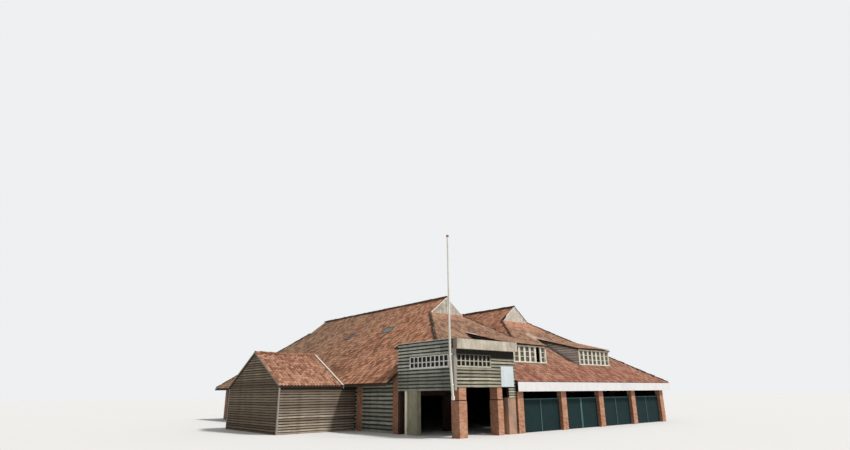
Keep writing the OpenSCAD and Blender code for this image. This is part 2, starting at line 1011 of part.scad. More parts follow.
module flagpole() {
    low_l = pole_bend_z - pole_z;
    bend_x = pole_x + pole_bend * cos(lean_to);
    bend_y = pole_y + pole_bend * sin(lean_to);
    bend_d = pole_d - (pole_d - pole_top_d) * low_l / (pole_top - pole_z);
    color("#e4e2dc") {
        // Shoe, lower length leaning to the back left, band, upright upper length and knob
        translate([pole_x, pole_y, pole_z])
            cylinder(h = shoe_h, d = pole_d + 50, $fn = 32);
        translate([pole_x, pole_y, pole_z])
            rotate([0, atan2(pole_bend, low_l), lean_to])
                cylinder(h = norm([pole_bend, low_l]), d1 = pole_d, d2 = bend_d, $fn = 32);
        translate([bend_x, bend_y, pole_bend_z]) {
            sphere(d = bend_d + 24, $fn = 32);
            cylinder(h = pole_top - pole_bend_z, d1 = bend_d, d2 = pole_top_d, $fn = 32);
        }
        translate([bend_x, bend_y, pole_top])
            sphere(d = knob_d, $fn = 32);
        for (at = [[pole_x, pole_y, bay_low + 300], [bend_x, bend_y, canopy_z - 350]]) {
            dx = -trim_t - at[0];
            dy = -trim_t - at[1];
            translate(at)
                rotate([0, 0, atan2(dy, dx)])
                    translate([0, -bracket / 2, 0])
                        cube([norm([dx, dy]), bracket, bracket]);
        }
    }
}

// Annex walls run to the hall's side, under its eaves
module annex_side_walls() {
    color("#7f7c70")
        for (y = [annex_y, annex_rear - board_wall_t])
            translate([annex_left, y, 0])
                cube([annex_l, board_wall_t, annex_wall_z]);
}

module annex_gable_wall() {
    color("#7f7c70") {
        along_x(annex_left, annex_left + board_wall_t)
            polygon([
                [annex_y + board_wall_t, 0],
                [annex_rear - board_wall_t, 0],
                [annex_rear - board_wall_t, annex_wall_z + board_wall_t * ta],
                [annex_mid, annex_ridge_z - annex_roof_t],
                [annex_y + board_wall_t, annex_wall_z + board_wall_t * ta]
            ]);
        // Upper part of the gable beside the hall's roof
        along_x(annex_right - board_wall_t, annex_right)
            polygon([
                [annex_y + board_wall_t, annex_wall_z],
                [annex_rear - board_wall_t, annex_wall_z],
                [annex_rear - board_wall_t, annex_wall_z + board_wall_t * ta],
                [annex_mid, annex_ridge_z - annex_roof_t],
                [annex_y + board_wall_t, annex_wall_z + board_wall_t * ta]
            ]);
    }
}

module annex_roof() {
    color("#b5704f")
        along_x(annex_left - annex_rim, annex_right)
            polygon([
                [annex_eave_f, annex_eave_z],
                [annex_mid, annex_ridge_z],
                [annex_rear + annex_rim, annex_eave_z],
                [annex_rear + annex_rim, annex_eave_z - annex_roof_t],
                [annex_mid, annex_ridge_z - annex_roof_t],
                [annex_eave_f, annex_eave_z - annex_roof_t]
            ]);
}

// Everything is placed about the middle of the footprint
module placed() {
    translate([-mid_x, -mid_y, 0])
        children();
}

placed() left_roof_slope();
placed() left_inner_slope();
placed() right_inner_slope();
placed() right_roof_slope();
placed() front_roof_slope();
placed() rear_roof_slope();
placed() ridge_tiles();
placed() hip_tiles();
placed() valley_gutter();
placed() gablet_walls();
placed() bargeboards();
placed() dormer_roofs();
placed() dormer_cheeks();
placed() dormer_frames();
placed() dormer_glass();
placed() roof_lights();
placed() eaves_board();
placed() eaves_beam();
placed() front_pillars();
placed() infill_panels();
placed() left_wall();
placed() right_wall();
placed() rear_wall();
placed() wall_piers();
placed() valley_frame();
placed() bay_left_wall();
placed() bay_front_wall();
placed() bay_right_wall();
placed() bay_rear_wall();
placed() bay_floor();
placed() bay_roof();
placed() bay_fascia();
placed() bay_capping();
placed() bay_corner_boards();
placed() bay_window_frames();
placed() bay_glass();
placed() notice_board();
placed() bay_pillars();
placed() rendered_piers();
placed() bay_post();
placed() porch_wall();
placed() flagpole();
placed() annex_side_walls();
placed() annex_gable_wall();
placed() annex_roof();
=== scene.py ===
# %% [markdown]
# # An old factory hall
# The CAD model holds the building's solids: roof slabs, walls, pillars, the bay and the annex.
# This lesson dresses them with what a visitor would see from the road: rows of clay pantiles,
# lapped weatherboards, bricks, glazing bars and the dirt of many years. Each step says what the
# real thing is and why it is modelled the way it is. All lengths are in metres.

# %% Load the frame
import math

import bpy
import numpy as np
from mathutils import Matrix, Vector


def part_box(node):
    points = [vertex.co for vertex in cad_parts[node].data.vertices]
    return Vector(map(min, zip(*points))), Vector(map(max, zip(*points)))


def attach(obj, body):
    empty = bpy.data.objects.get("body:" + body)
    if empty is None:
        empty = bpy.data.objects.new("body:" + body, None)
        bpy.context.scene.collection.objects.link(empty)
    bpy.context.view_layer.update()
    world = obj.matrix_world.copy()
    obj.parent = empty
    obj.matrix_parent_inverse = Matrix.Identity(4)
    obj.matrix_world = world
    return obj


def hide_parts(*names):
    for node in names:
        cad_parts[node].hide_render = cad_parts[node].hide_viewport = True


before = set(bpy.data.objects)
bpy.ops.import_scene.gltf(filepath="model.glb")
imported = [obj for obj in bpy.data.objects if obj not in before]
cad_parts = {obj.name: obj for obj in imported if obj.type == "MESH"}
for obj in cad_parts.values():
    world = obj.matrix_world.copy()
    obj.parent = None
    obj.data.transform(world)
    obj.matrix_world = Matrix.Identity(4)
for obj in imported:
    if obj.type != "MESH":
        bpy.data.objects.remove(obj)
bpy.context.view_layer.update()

# %% [markdown]
# ## Places on the building
# The bay's front left corner is the point from which everything was measured, so the first
# step finds it in the frame. The lines of the roof follow from the boxes of its slabs: where
# the eaves and ridges run, how steep each slope is, and where two slopes meet.

# %% Corner, eaves, ridges and valley
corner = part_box("bay_left_wall")[0]
origin = Vector((corner.x, corner.y, 0))
slab_t = 0.2

left_lo, left_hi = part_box("left_roof_slope")
right_lo, right_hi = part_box("right_roof_slope")
front_lo, front_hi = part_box("front_roof_slope")
rear_lo, rear_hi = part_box("rear_roof_slope")
eave_l, ridge_l = left_lo.x, left_hi.x
ridge_r, eave_r = right_lo.x, right_hi.x
eave_f, gablet_f = front_lo.y, front_hi.y
gablet_b, eave_b = rear_lo.y, rear_hi.y
eave_z = right_lo.z + slab_t
ridge_z, gablet_z = right_hi.z, front_hi.z
valley_x = (ridge_l + ridge_r) / 2
side_tan = (ridge_z - eave_z) / (eave_r - ridge_r)
front_tan = (gablet_z - eave_z) / (gablet_f - eave_f)
valley_z = ridge_z - (valley_x - ridge_l) * side_tan
half_gablet = (ridge_z - gablet_z) / side_tan


def front_y(z):
    return eave_f + (z - eave_z) / front_tan


def rear_y(z):
    return eave_b - (z - eave_z) / side_tan


def left_x(z):
    return eave_l + (z - eave_z) / side_tan


print("pitches", round(math.degrees(math.atan(side_tan)), 1), round(math.degrees(math.atan(front_tan)), 1))

# %% Bay and annex
bay_lo, bay_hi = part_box("bay_left_wall")
bay_x, bay_y = origin.x, origin.y
bay_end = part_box("bay_right_wall")[1].x
bay_back = bay_hi.y
bay_top = bay_hi.z
annex_lo, annex_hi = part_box("annex_roof")
annex_t = 0.13
annex_eave_z = annex_lo.z + annex_t
annex_mid = (annex_lo.y + annex_hi.y) / 2
annex_tan = (annex_hi.z - annex_eave_z) / (annex_mid - annex_lo.y)
print("bay", round(bay_end - bay_x, 2), "x", round(bay_back - bay_y, 2), "annex ridge", round(annex_hi.z, 2))

# %% [markdown]
# ## Helpers for modelling
# A mesh operator works on everything that is selected, and loading leaves the CAD nodes
# selected. So a small function clears the selection before each step, and a second one picks
# vertices, edges or faces by their place, as a modeller would with a box select.

# %% Select
def only(piece):
    """Makes one object the selected and active one."""
    if bpy.context.object and bpy.context.object.mode != "OBJECT":
        bpy.ops.object.mode_set(mode="OBJECT")
    bpy.ops.object.select_all(action="DESELECT")
    piece.select_set(True)
    bpy.context.view_layer.objects.active = piece


def pick(piece, kind, test, facing=None):
    """Opens edit mode with the vertices, edges or faces whose middle passes the test."""
    only(piece)
    bpy.ops.object.mode_set(mode="EDIT")
    bpy.ops.mesh.select_mode(type=kind)
    bpy.ops.mesh.select_all(action="DESELECT")
    bpy.ops.object.mode_set(mode="OBJECT")
    mesh = piece.data
    if kind == "VERT":
        for v in mesh.vertices:
            v.select = bool(test(v.co))
    elif kind == "EDGE":
        for e in mesh.edges:
            a, b = (mesh.vertices[i].co for i in e.vertices)
            e.select = bool(test((a + b) / 2))
    else:
        for f in mesh.polygons:
            f.select = bool(test(f.center)) and (facing is None or f.normal.dot(facing) > 0.5)
    bpy.ops.object.mode_set(mode="EDIT")


def done():
    bpy.ops.object.mode_set(mode="OBJECT")


def everywhere(v):
    return True


print(len(bpy.context.selected_objects), "CAD nodes are still selected after loading")

# %% [markdown]
# A hand modeller repeats a few moves on what is picked: push it, round its edges, sink the
# middle of a face. Each is one short function here, so that the lines below read as moves.

# %% Move, soften, inset and name
upwards, frontwards = Vector((0, 0, 1)), Vector((0, -1, 0))


def move(piece, kind, test, by, facing=None):
    """Moves what passes the test."""
    pick(piece, kind, test, facing)
    bpy.ops.transform.translate(value=by)
    done()


def soften(piece, offset, test=everywhere, segments=1):
    """Bevels the edges whose middle passes the test."""
    pick(piece, "EDGE", test)
    bpy.ops.mesh.bevel(offset=offset, segments=segments)
    done()


def inset(piece, facing, thickness, by=None):
    """Insets the faces that look one way, and moves their middles if a vector is given."""
    pick(piece, "FACE", everywhere, facing)
    bpy.ops.mesh.inset(thickness=thickness)
    if by:
        bpy.ops.transform.translate(value=by)
    done()


def rename(piece, name):
    piece.name = piece.data.name = name
    return piece


def apply_place(piece):
    """Moves the object's place, turn and scale into its mesh."""
    only(piece)
    bpy.ops.object.transform_apply(location=True, rotation=True, scale=True)
    return piece


print("up is", tuple(upwards), "and the front faces", tuple(frontwards))

# %% [markdown]
# Most of the building is made of one small thing many times over. The Array modifier copies
# it in a row, and applying the modifier leaves a plain mesh in which the copies follow each
# other in the vertex list. That order makes it easy to give each tile, board or brick its own
# tone and its own small error in laying.

# %% Start
def start(name, size, at=(0, 0, 0)):
    """Adds a block of the given size with its lowest corner at a point."""
    bpy.ops.object.select_all(action="DESELECT")
    bpy.ops.mesh.primitive_cube_add(size=1, location=[a + s / 2 for a, s in zip(at, size)])
    piece = rename(bpy.context.object, name)
    piece.scale = size
    return apply_place(piece)


def start_grid(columns, rows, size):
    """Adds a flat grid with its lowest corner at the origin."""
    bpy.ops.object.select_all(action="DESELECT")
    bpy.ops.mesh.primitive_grid_add(x_subdivisions=columns, y_subdivisions=rows, size=1,
                                    location=(0.5, 0.5, 0))
    grid = apply_place(bpy.context.object)
    grid.scale = (*size, 1)
    return apply_place(grid)

# %% Modifiers and rows
def finish_with(piece, kind, **settings):
    """Adds a modifier with its settings and applies it."""
    only(piece)
    step = piece.modifiers.new("step", kind)
    for key, value in settings.items():
        setattr(step, key, value)
    bpy.ops.object.modifier_apply(modifier=step.name)
    return piece


def repeat(piece, count, step):
    """Copies the piece in a row."""
    return finish_with(piece, "ARRAY", count=count, use_relative_offset=False, use_constant_offset=True,
                       constant_offset_displace=step)

# %% Numbers per vertex, and small errors
def coordinates(piece):
    co = np.empty(len(piece.data.vertices) * 3, np.float32)
    piece.data.vertices.foreach_get("co", co)
    return co.reshape(-1, 3)


def set_coordinates(piece, co):
    piece.data.vertices.foreach_set("co", co.astype(np.float32).ravel())
    piece.data.update()


def write(piece, name, values):
    """Writes one number per vertex for the materials to read."""
    layer = piece.data.attributes.get(name) or piece.data.attributes.new(name, "FLOAT", "POINT")
    layer.data.foreach_set("value", np.asarray(values, np.float32))


seed = 7
rng = np.random.default_rng(seed)


def vary(piece, copies, shift=(0, 0, 0), low=0.0, high=1.0):
    """Gives each copy its own tone and moves it a little."""
    each = len(piece.data.vertices) // copies
    write(piece, "tone", np.repeat(rng.uniform(low, high, copies), each))
    co = coordinates(piece)
    co += np.repeat(rng.normal(0, 1, (copies, 3)) * shift, each, axis=0)
    set_coordinates(piece, co)


print("random draws start from seed", seed)

# %% [markdown]
# Pieces are modelled flat at the origin, where their sizes are easy to read, and then turned
# into place on a slope or stood against a wall. Cuts are made with planes, as with a saw.

# %% Lay flat, turn and stand
def lay_flat(piece, turn=False):
    """Writes a UV map in metres from the piece's own X and Y (or X and Z)."""
    mesh = piece.data
    co = coordinates(piece)
    loops = np.empty(len(mesh.loops), np.int32)
    mesh.loops.foreach_get("vertex_index", loops)
    layer = mesh.uv_layers.get("metres") or mesh.uv_layers.new(name="metres")
    flat = co[loops][:, [0, 2 if turn else 1]]
    layer.data.foreach_set("uv", flat.astype(np.float32).ravel())


def place(piece, at, along, up):
    """Turns a piece so that its X runs along one direction and its Y along the other."""
    x, y = Vector(along).normalized(), Vector(up).normalized()
    z = x.cross(y)
    piece.matrix_world = Matrix.Translation(at) @ Matrix((x, y, z)).transposed().to_4x4()
    return apply_place(piece)


def stand(piece, at, along):
    """Stands a piece made in the X-Z plane along a wall; its -Y side faces outwards."""
    x, z = Vector(along).normalized(), upwards
    piece.matrix_world = Matrix.Translation(at) @ Matrix((x, z.cross(x), z)).transposed().to_4x4()
    return apply_place(piece)

# %% Cut and drop
def trim(piece, at, outward, fill=False):
    """Cuts off all that lies outside a plane. Bisect takes a unit normal."""
    only(piece)
    bpy.ops.object.mode_set(mode="EDIT")
    bpy.ops.mesh.select_mode(type="VERT")
    bpy.ops.mesh.select_all(action="SELECT")
    bpy.ops.mesh.bisect(plane_co=at, plane_no=Vector(outward).normalized(), use_fill=fill, clear_outer=True)
    done()
    return piece


def drop(piece, inside):
    """Deletes the faces whose middle passes the test."""
    pick(piece, "FACE", inside)
    bpy.ops.mesh.delete(type="FACE")
    done()

# %% Join and copy
def join(pieces, name):
    """Joins several pieces into one object."""
    only(pieces[0])
    for piece in pieces:
        piece.select_set(True)
    bpy.ops.object.join()
    return rename(bpy.context.object, name)


def copy_of(piece, by=(0, 0, 0)):
    """A copy with a mesh of its own, moved."""
    only(piece)
    bpy.ops.object.duplicate()
    twin = bpy.context.object
    twin.location = by
    return apply_place(twin)


def copy_of_node(node, name):
    """A copy of a CAD node, with its loose triangles merged."""
    twin = rename(copy_of(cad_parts[node]), name)
    pick(twin, "VERT", everywhere)
    bpy.ops.mesh.remove_doubles(threshold=0.0001)
    done()
    return twin


print(len(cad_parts), "CAD nodes can be copied")

# %% [markdown]
# A finished piece gets its material and the body it belongs to, and the CAD nodes that it
# replaces are hidden. The list of finished pieces is counted at the end.

# %% Keep a finished piece
made = []


def triangles_of(piece):
    return sum(len(f.vertices) - 2 for f in piece.data.polygons)


def keep(piece, slot, material, *nodes, smooth=None):
    """Finishes a piece: material, body, and the CAD nodes it stands for. The slot is not used."""
    piece.data.materials.clear()
    piece.data.materials.append(material)
    if smooth:
        only(piece)
        bpy.ops.object.shade_smooth_by_angle(angle=math.radians(smooth))
    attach(piece, "root")
    if nodes:
        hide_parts(*nodes)
    made.append(piece)
    print(piece.name, triangles_of(piece), "triangles")
    return piece


print(len(made), "pieces finished so far")

# %% [markdown]
# ## Helpers for materials
# Colours are written as a painter's hex code and turned to linear light once. One function
# adds a node, sets its values and links its inputs, so each material reads from top to bottom.

# %% Colours
def linear(code):
    parts = [int(code[i:i + 2], 16) / 255 for i in (1, 3, 5)]
    return [c / 12.92 if c <= 0.04045 else ((c + 0.055) / 1.055) ** 2.4 for c in parts] + [1.0]


print("mid grey is", round(linear("#808080")[0], 3), "in linear light")

# %% [markdown]
# A material is a tree of nodes. Adding nodes by hand takes many lines, so one helper adds a
# node with all its values and links, and the others are built on it.

# %% Nodes
def add(tree, kind, settings=None, **inputs):
    """Adds a node. Inputs are values or sockets, with _ for a space and a number for a place."""
    item = tree.nodes.new(kind)
    for key, value in (settings or {}).items():
        setattr(item, key, value)
    for key, value in inputs.items():
        key = int(key[1:]) if key[0] == "i" and key[1:].isdigit() else key.replace("_", " ")
        socket = item.inputs[key]
        if isinstance(value, bpy.types.NodeSocket):
            tree.links.new(value, socket)
        elif isinstance(value, str):
            socket.default_value = linear(value)
        else:
            socket.default_value = value
    return item


def math_of(tree, operation, *values):
    inputs = {f"i{i}": value for i, value in enumerate(values)}
    return add(tree, "ShaderNodeMath", {"operation": operation}, **inputs).outputs[0]

# %% Ramp, mask, blend and tint
def ramp(tree, factor, stops):
    """A colour ramp with hex colours at the given places."""
    item = add(tree, "ShaderNodeValToRGB", Fac=factor)
    band = item.color_ramp
    while len(band.elements) > 1:
        band.elements.remove(band.elements[-1])
    band.elements[0].position, band.elements[0].color = stops[0][0], linear(stops[0][1])
    for at, code in stops[1:]:
        band.elements.new(at).color = linear(code)
    return item.outputs["Color"]


def mask(tree, factor, low, high, most=1.0):
    """Stretches a factor so that low becomes 0 and high becomes the most."""
    return add(tree, "ShaderNodeMapRange", i0=factor, i1=low, i2=high, i4=most).outputs[0]


def blend(tree, factor, a, b):
    return add(tree, "ShaderNodeMix", {"data_type": "RGBA"}, i0=factor, i6=a, i7=b).outputs[2]


def tint(tree, factor, colour, code, share=None):
    """Mixes a colour, or only a share of it, into another where the factor is high."""
    other = code if share is None else blend(tree, share, colour, code)
    return blend(tree, factor, colour, other)

# %% Noise, stored numbers and places
def noise_at(tree, where, size, detail=3.0, rough=0.55, stretch=(1, 1, 1)):
    """Noise with patches of the given size in metres, stretched by the given factors."""
    scale = [1 / (size * s) for s in stretch]
    place_it = add(tree, "ShaderNodeMapping", Vector=where, Scale=scale)
    return add(tree, "ShaderNodeTexNoise", Vector=place_it.outputs[0], Scale=1.0, Detail=detail,
               Roughness=rough).outputs["Fac"]


def stored(tree, name):
    """A number that is stored on the mesh."""
    return add(tree, "ShaderNodeAttribute", {"attribute_name": name}).outputs["Fac"]


def along_axis(tree, where, axis, low, high):
    """0 to 1 along X, Y or Z between two places."""
    split = add(tree, "ShaderNodeSeparateXYZ", Vector=where)
    return mask(tree, split.outputs[axis], low, high)


print("a tree gets its maths, colours, noise and places from these")

# %% A material's first and last step
dull_shine = 0.25


def new_material(name):
    """An empty Principled material, with its tree, shader and the usual coordinates."""
    material = bpy.data.materials.new(name)
    material.use_nodes = True
    tree = material.node_tree
    shader = tree.nodes["Principled BSDF"]
    coords = tree.nodes.new("ShaderNodeTexCoord")
    return material, tree, shader, coords


def finish_material(material, tree, shader, colour, rough, height, depth, strength=0.6):
    """Links the colour, sets the roughness and turns a height into bump."""
    tree.links.new(colour, shader.inputs["Base Color"])
    shader.inputs["Roughness"].default_value = rough
    shader.inputs["Specular IOR Level"].default_value = dull_shine
    item = add(tree, "ShaderNodeBump", Height=height, Distance=depth, Strength=strength)
    tree.links.new(item.outputs[0], shader.inputs["Normal"])
    print(material.name)
    return material


print("specular level of every material", dull_shine)

# %% [markdown]
# ## Clay pantiles
# The tiles are unglazed red clay, moulded and fired. New ones are an even orange red; after
# decades each tile has its own tone, rain leaves dark and pale streaks down the slope, and moss
# and soot settle in the troughs. The tone of each tile and the place of its trough are stored on
# the mesh; the trough is painted darker, partly for that dirt and partly as painted shade beside
# the roll. The streaks are noise stretched down the slope with the UV map in metres. A slope
# ages unevenly, so two palettes are blended along one axis, from the redder part to the browner.

# %% Clay tile material
def clay_tiles(name, young, old, axis, low, high, moss="#43382b", moss_from=0.56):
    material, tree, shader, coords = new_material(name)
    here, flat = coords.outputs["Object"], coords.outputs["UV"]
    patches = noise_at(tree, here, 2.6, 4.0, 0.62)
    streaks = noise_at(tree, flat, 0.22, 4.0, 0.65, (1, 9, 1))
    hues = noise_at(tree, flat, 0.45, 3.0, 0.65, (1, 5, 1))
    threads = noise_at(tree, flat, 0.12, 2.0, 0.5, (1, 12, 1))
    spots = noise_at(tree, here, 0.3, 3.0, 0.6)
    fine = noise_at(tree, here, 0.07, 4.0, 0.7)
    mixed = math_of(tree, "MULTIPLY_ADD", patches, 0.4, -1.14)
    mixed = math_of(tree, "MULTIPLY_ADD", stored(tree, "tone"), 0.5, mixed)
    mixed = math_of(tree, "MULTIPLY_ADD", streaks, 2.4, mixed)
    age = along_axis(tree, here, axis, low, high)
    age = mask(tree, math_of(tree, "MULTIPLY_ADD", patches, 0.5, age), 0.2, 1.05)
    places = (0.2, 0.48, 0.76)
    palettes = [ramp(tree, mixed, list(zip(places, tones))) for tones in (young, old)]
    colour = blend(tree, age, *palettes)
    pinkish, olive = mask(tree, hues, 0.53, 0.68, 0.5), mask(tree, hues, 0.47, 0.34, 0.6)
    colour = tint(tree, pinkish, colour, "#cf8f7c", 0.5)
    colour = tint(tree, olive, colour, "#75694a", 0.5)
    dark_runs, pale_runs = mask(tree, threads, 0.54, 0.7, 0.8), mask(tree, threads, 0.46, 0.32, 0.7)
    colour = tint(tree, dark_runs, colour, "#261c17", 0.65)
    colour = tint(tree, pale_runs, colour, "#d6ab8e", 0.5)
    mossy = mask(tree, noise_at(tree, here, 1.0, 5.0, 0.7), moss_from, moss_from + 0.2, 0.6)
    colour = tint(tree, mossy, colour, moss)
    colour = tint(tree, mask(tree, fine, 0.45, 0.8, 0.5), colour, "#33261f")
    # Troughs darker: settled dirt, and painted shade beside each roll.
    colour = tint(tree, math_of(tree, "MULTIPLY", stored(tree, "trough_dirt_and_shade"), 0.5), colour, "#1f1814", 0.7)
    fresh = math_of(tree, "MULTIPLY", stored(tree, "fresh"), mask(tree, spots, 0.34, 0.6, 0.95))
    fresh_clay = blend(tree, mask(tree, fine, 0.42, 0.62), "#c9825f", "#e8b399")
    colour = blend(tree, fresh, colour, fresh_clay)
    pale = math_of(tree, "MULTIPLY", stored(tree, "pale"), mask(tree, spots, 0.42, 0.52))
    colour = tint(tree, pale, colour, "#c4ab97")
    return finish_material(material, tree, shader, colour, 0.86, fine, 0.004)

# %% The three clays
left_clay = clay_tiles("Weathered clay pantiles, left slope", ("#764a37", "#be8060", "#e6ae8b"),
                       ("#5c4433", "#99755d", "#c09c7d"), 1, -8, 12)
front_clay = clay_tiles("Weathered clay pantiles, front slope", ("#7c493a", "#ab6f58", "#cc987e"),
                        ("#6f4e3e", "#a67e65", "#c7a183"), 2, 4.2, 6.4)
annex_clay = clay_tiles("Weathered clay pantiles, annex", ("#7c4b37", "#b67f5f", "#dcab8c"),
                        ("#774835", "#b0785c", "#d5a488"), 2, 3.0, 5.4, "#7a5d49", 0.62)

# %% [markdown]
# ## One pantile
# A pantile is a flat S in section: a wide trough and a narrow roll that covers its neighbour.
# Five faces across are enough at this distance. The tile starts as a small grid, its columns
# are lifted to the S, its lower edge is raised to lie on the course below, and that edge is
# extruded down to give the tile its thickness.

# %% Model the pantile
tile_w, tile_l, tile_t = 0.235, 0.325, 0.014
course_lift, nose_back = 0.015, 0.003
wave = (0.0, -0.022, -0.026, -0.007, 0.020, 0.0)
# How dark each column's trough is painted: dirt, and painted shade beside the roll.
trough_dirt_and_shade_by_column = (0.6, 1.0, 0.9, 0.4, 0.0, 0.3)
steps = len(wave) - 1
near = 0.001


def one_tile():
    tile = start_grid(steps, 1, (tile_w, tile_l))
    for i, lift in enumerate(wave):
        column = i * tile_w / steps
        move(tile, "VERT", lambda v: abs(v.x - column) < near, (0, 0, lift))
    pick(tile, "EDGE", lambda v: v.y < near)
    bpy.ops.transform.translate(value=(0, 0, course_lift))
    bpy.ops.mesh.extrude_region_move(TRANSFORM_OT_translate={"value": (0, nose_back, -tile_t)})
    done()
    columns = np.rint(coordinates(tile)[:, 0] * steps / tile_w).astype(int)
    write(tile, "trough_dirt_and_shade", np.array(trough_dirt_and_shade_by_column)[columns])
    return tile


pantile = one_tile()
print("one pantile has", len(pantile.data.polygons), "faces")

# %% [markdown]
# ## Boarding under the tiles
# The CAD slab of a slope stands for tiles, battens and rafters together, and its top is the
# middle of the tiles' waves. The tiles would sink into it, so each slab is replaced by a copy
# whose top lies lower. That copy is the dark boarding that shows under the tiles' edges.

# %% Lower the slabs
deck_drop = 0.08


def deck_of(node):
    deck = copy_of_node(node, node + "_deck")
    move(deck, "FACE", everywhere, (0, 0, -deck_drop), facing=upwards)
    return deck


roof_nodes = ("left_roof_slope", "right_roof_slope", "left_inner_slope", "right_inner_slope",
              "front_roof_slope", "rear_roof_slope", "dormer_roofs", "annex_roof")
roof_decks = {name: deck_of(name) for name in roof_nodes}
print(len(roof_decks), "slabs lowered")

# %% [markdown]
# ## Tiling a slope
# A slope is tiled as a roofer does it: the same tile in courses from the eaves up, over the
# whole rectangle, and then cut along hips, valleys and verges. A cut is a plane, so an outline
# with an inward corner is made in two or three convex parts that share one grid of tiles. Each
# tile gets a small error, and the whole surface a slow wave, because old battens sag.

# %% Tile one part of a slope
tile_error = (0.003, 0.005, 0.0025)
sag = 0.011


def slow_wave(x, y):
    """The unevenness of an old roof, from -1.6 to 1.6, over a few metres."""
    return np.sin(x * 1.3 + 1.1) * np.sin(y * 0.9 + 0.4) + 0.6 * np.sin(x * 0.45 - y * 0.6)


def tile_part(at, along, up, outline):
    """Covers a convex outline, given in plan, on the slope through one eaves point."""
    along, up = Vector(along).normalized(), Vector(up).normalized()
    cosine = math.hypot(up.x, up.y)
    spots = [Vector((x, y, 0)) - Vector((at[0], at[1], 0)) for x, y in outline]
    us = [s.dot(along) for s in spots]
    vs = [(s.x * up.x + s.y * up.y) / cosine ** 2 for s in spots]
    first, last = math.floor(min(us) / tile_w), math.ceil(max(us) / tile_w)
    low, high = math.floor(min(vs) / tile_l + near), math.ceil(max(vs) / tile_l)
    columns, rows = last - first, high - low
    part = copy_of(pantile, (first * tile_w, low * tile_l, 0))
    repeat(part, columns, (tile_w, 0, 0))
    repeat(part, rows, (0, tile_l, 0))
    vary(part, columns * rows, tile_error)
    lay_flat(part)
    place(part, at, along, up)
    co = coordinates(part)
    co[:, 2] += sag * slow_wave(co[:, 0], co[:, 1])
    set_coordinates(part, co)
    area = sum(a[0] * b[1] - b[0] * a[1] for a, b in zip(outline[-1:] + outline[:-1], outline))
    ring = outline if area > 0 else outline[::-1]
    for (x0, y0), (x1, y1) in zip(ring, ring[1:] + ring[:1]):
        trim(part, (x0, y0, 0), (y1 - y0, x0 - x1, 0))
    return part


print("a slope waves by", round(1.6 * sag, 3), "m up and down")

# %% Outlines of the slopes in plan
def hip_y(x):
    """Where the front left hip lies over x."""
    return front_y(eave_z + (x - eave_l) * side_tan)


def on_slope(tangent, dx, dy):
    """The unit direction up a slope whose plan direction is (dx, dy)."""
    cosine = 1 / math.hypot(1, tangent)
    return (dx * cosine, dy * cosine, cosine * tangent)


bay_line = left_x(bay_top)
g_l, g_r = ridge_l - half_gablet, ridge_l + half_gablet
h_l, h_r = ridge_r - half_gablet, ridge_r + half_gablet
valley_f, valley_b = front_y(valley_z), rear_y(valley_z)
up_left, up_right = on_slope(side_tan, 1, 0), on_slope(side_tan, -1, 0)
up_front, up_rear = on_slope(front_tan, 0, 1), on_slope(side_tan, 0, -1)

slopes = {
    "left_slope_tiles": ((eave_l, eave_b, eave_z), (0, -1, 0), up_left, left_clay, [
        [(eave_l, bay_back), (bay_line, bay_back), (bay_line, rear_y(bay_top)), (eave_l, eave_b)],
        [(bay_line, front_y(bay_top)), (g_l, gablet_f), (g_l, gablet_b), (bay_line, rear_y(bay_top))],
        [(g_l, gablet_f), (ridge_l, gablet_f), (ridge_l, gablet_b), (g_l, gablet_b)]]),
    "right_slope_tiles": ((eave_r, eave_f, eave_z), (0, 1, 0), up_right, left_clay, [
        [(eave_r, eave_f), (eave_r, eave_b), (h_r, gablet_b), (h_r, gablet_f)],
        [(h_r, gablet_f), (h_r, gablet_b), (ridge_r, gablet_b), (ridge_r, gablet_f)]]),
    "left_inner_tiles": ((valley_x, gablet_f, valley_z), (0, 1, 0), up_right, left_clay, [
        [(ridge_l, gablet_f), (g_r, gablet_f), (g_r, gablet_b), (ridge_l, gablet_b)],
        [(g_r, gablet_f), (valley_x, valley_f), (valley_x, valley_b), (g_r, gablet_b)]]),
    "right_inner_tiles": ((valley_x, gablet_b, valley_z), (0, -1, 0), up_left, left_clay, [
        [(ridge_r, gablet_f), (h_l, gablet_f), (h_l, gablet_b), (ridge_r, gablet_b)],
        [(h_l, gablet_f), (valley_x, valley_f), (valley_x, valley_b), (h_l, gablet_b)]]),
    "front_slope_tiles": ((eave_l, eave_f, eave_z), (1, 0, 0), up_front, front_clay, [
        [(bay_line, front_y(bay_top)), (bay_end, front_y(bay_top)), (bay_end, hip_y(bay_end))],
        [(bay_end, eave_f), (valley_x, eave_f), (valley_x, valley_f), (g_r, gablet_f), (g_l, gablet_f),
         (bay_end, hip_y(bay_end))],
        [(valley_x, eave_f), (eave_r, eave_f), (h_r, gablet_f), (h_l, gablet_f), (valley_x, valley_f)]]),
    "rear_slope_tiles": ((eave_r, eave_b, eave_z), (-1, 0, 0), up_rear, left_clay, [
        [(eave_l, eave_b), (valley_x, eave_b), (valley_x, valley_b), (g_r, gablet_b), (g_l, gablet_b)],
        [(valley_x, eave_b), (eave_r, eave_b), (h_r, gablet_b), (h_l, gablet_b), (valley_x, valley_b)]]),
}
print(sum(len(slope[-1]) for slope in slopes.values()), "convex parts on", len(slopes), "slopes")

# %% [markdown]
# Where a dormer or a roof light stands, the tiles are left out. A roofer would cut them close
# to the flashing, so the holes end a little inside the dormers and a little outside the lights.

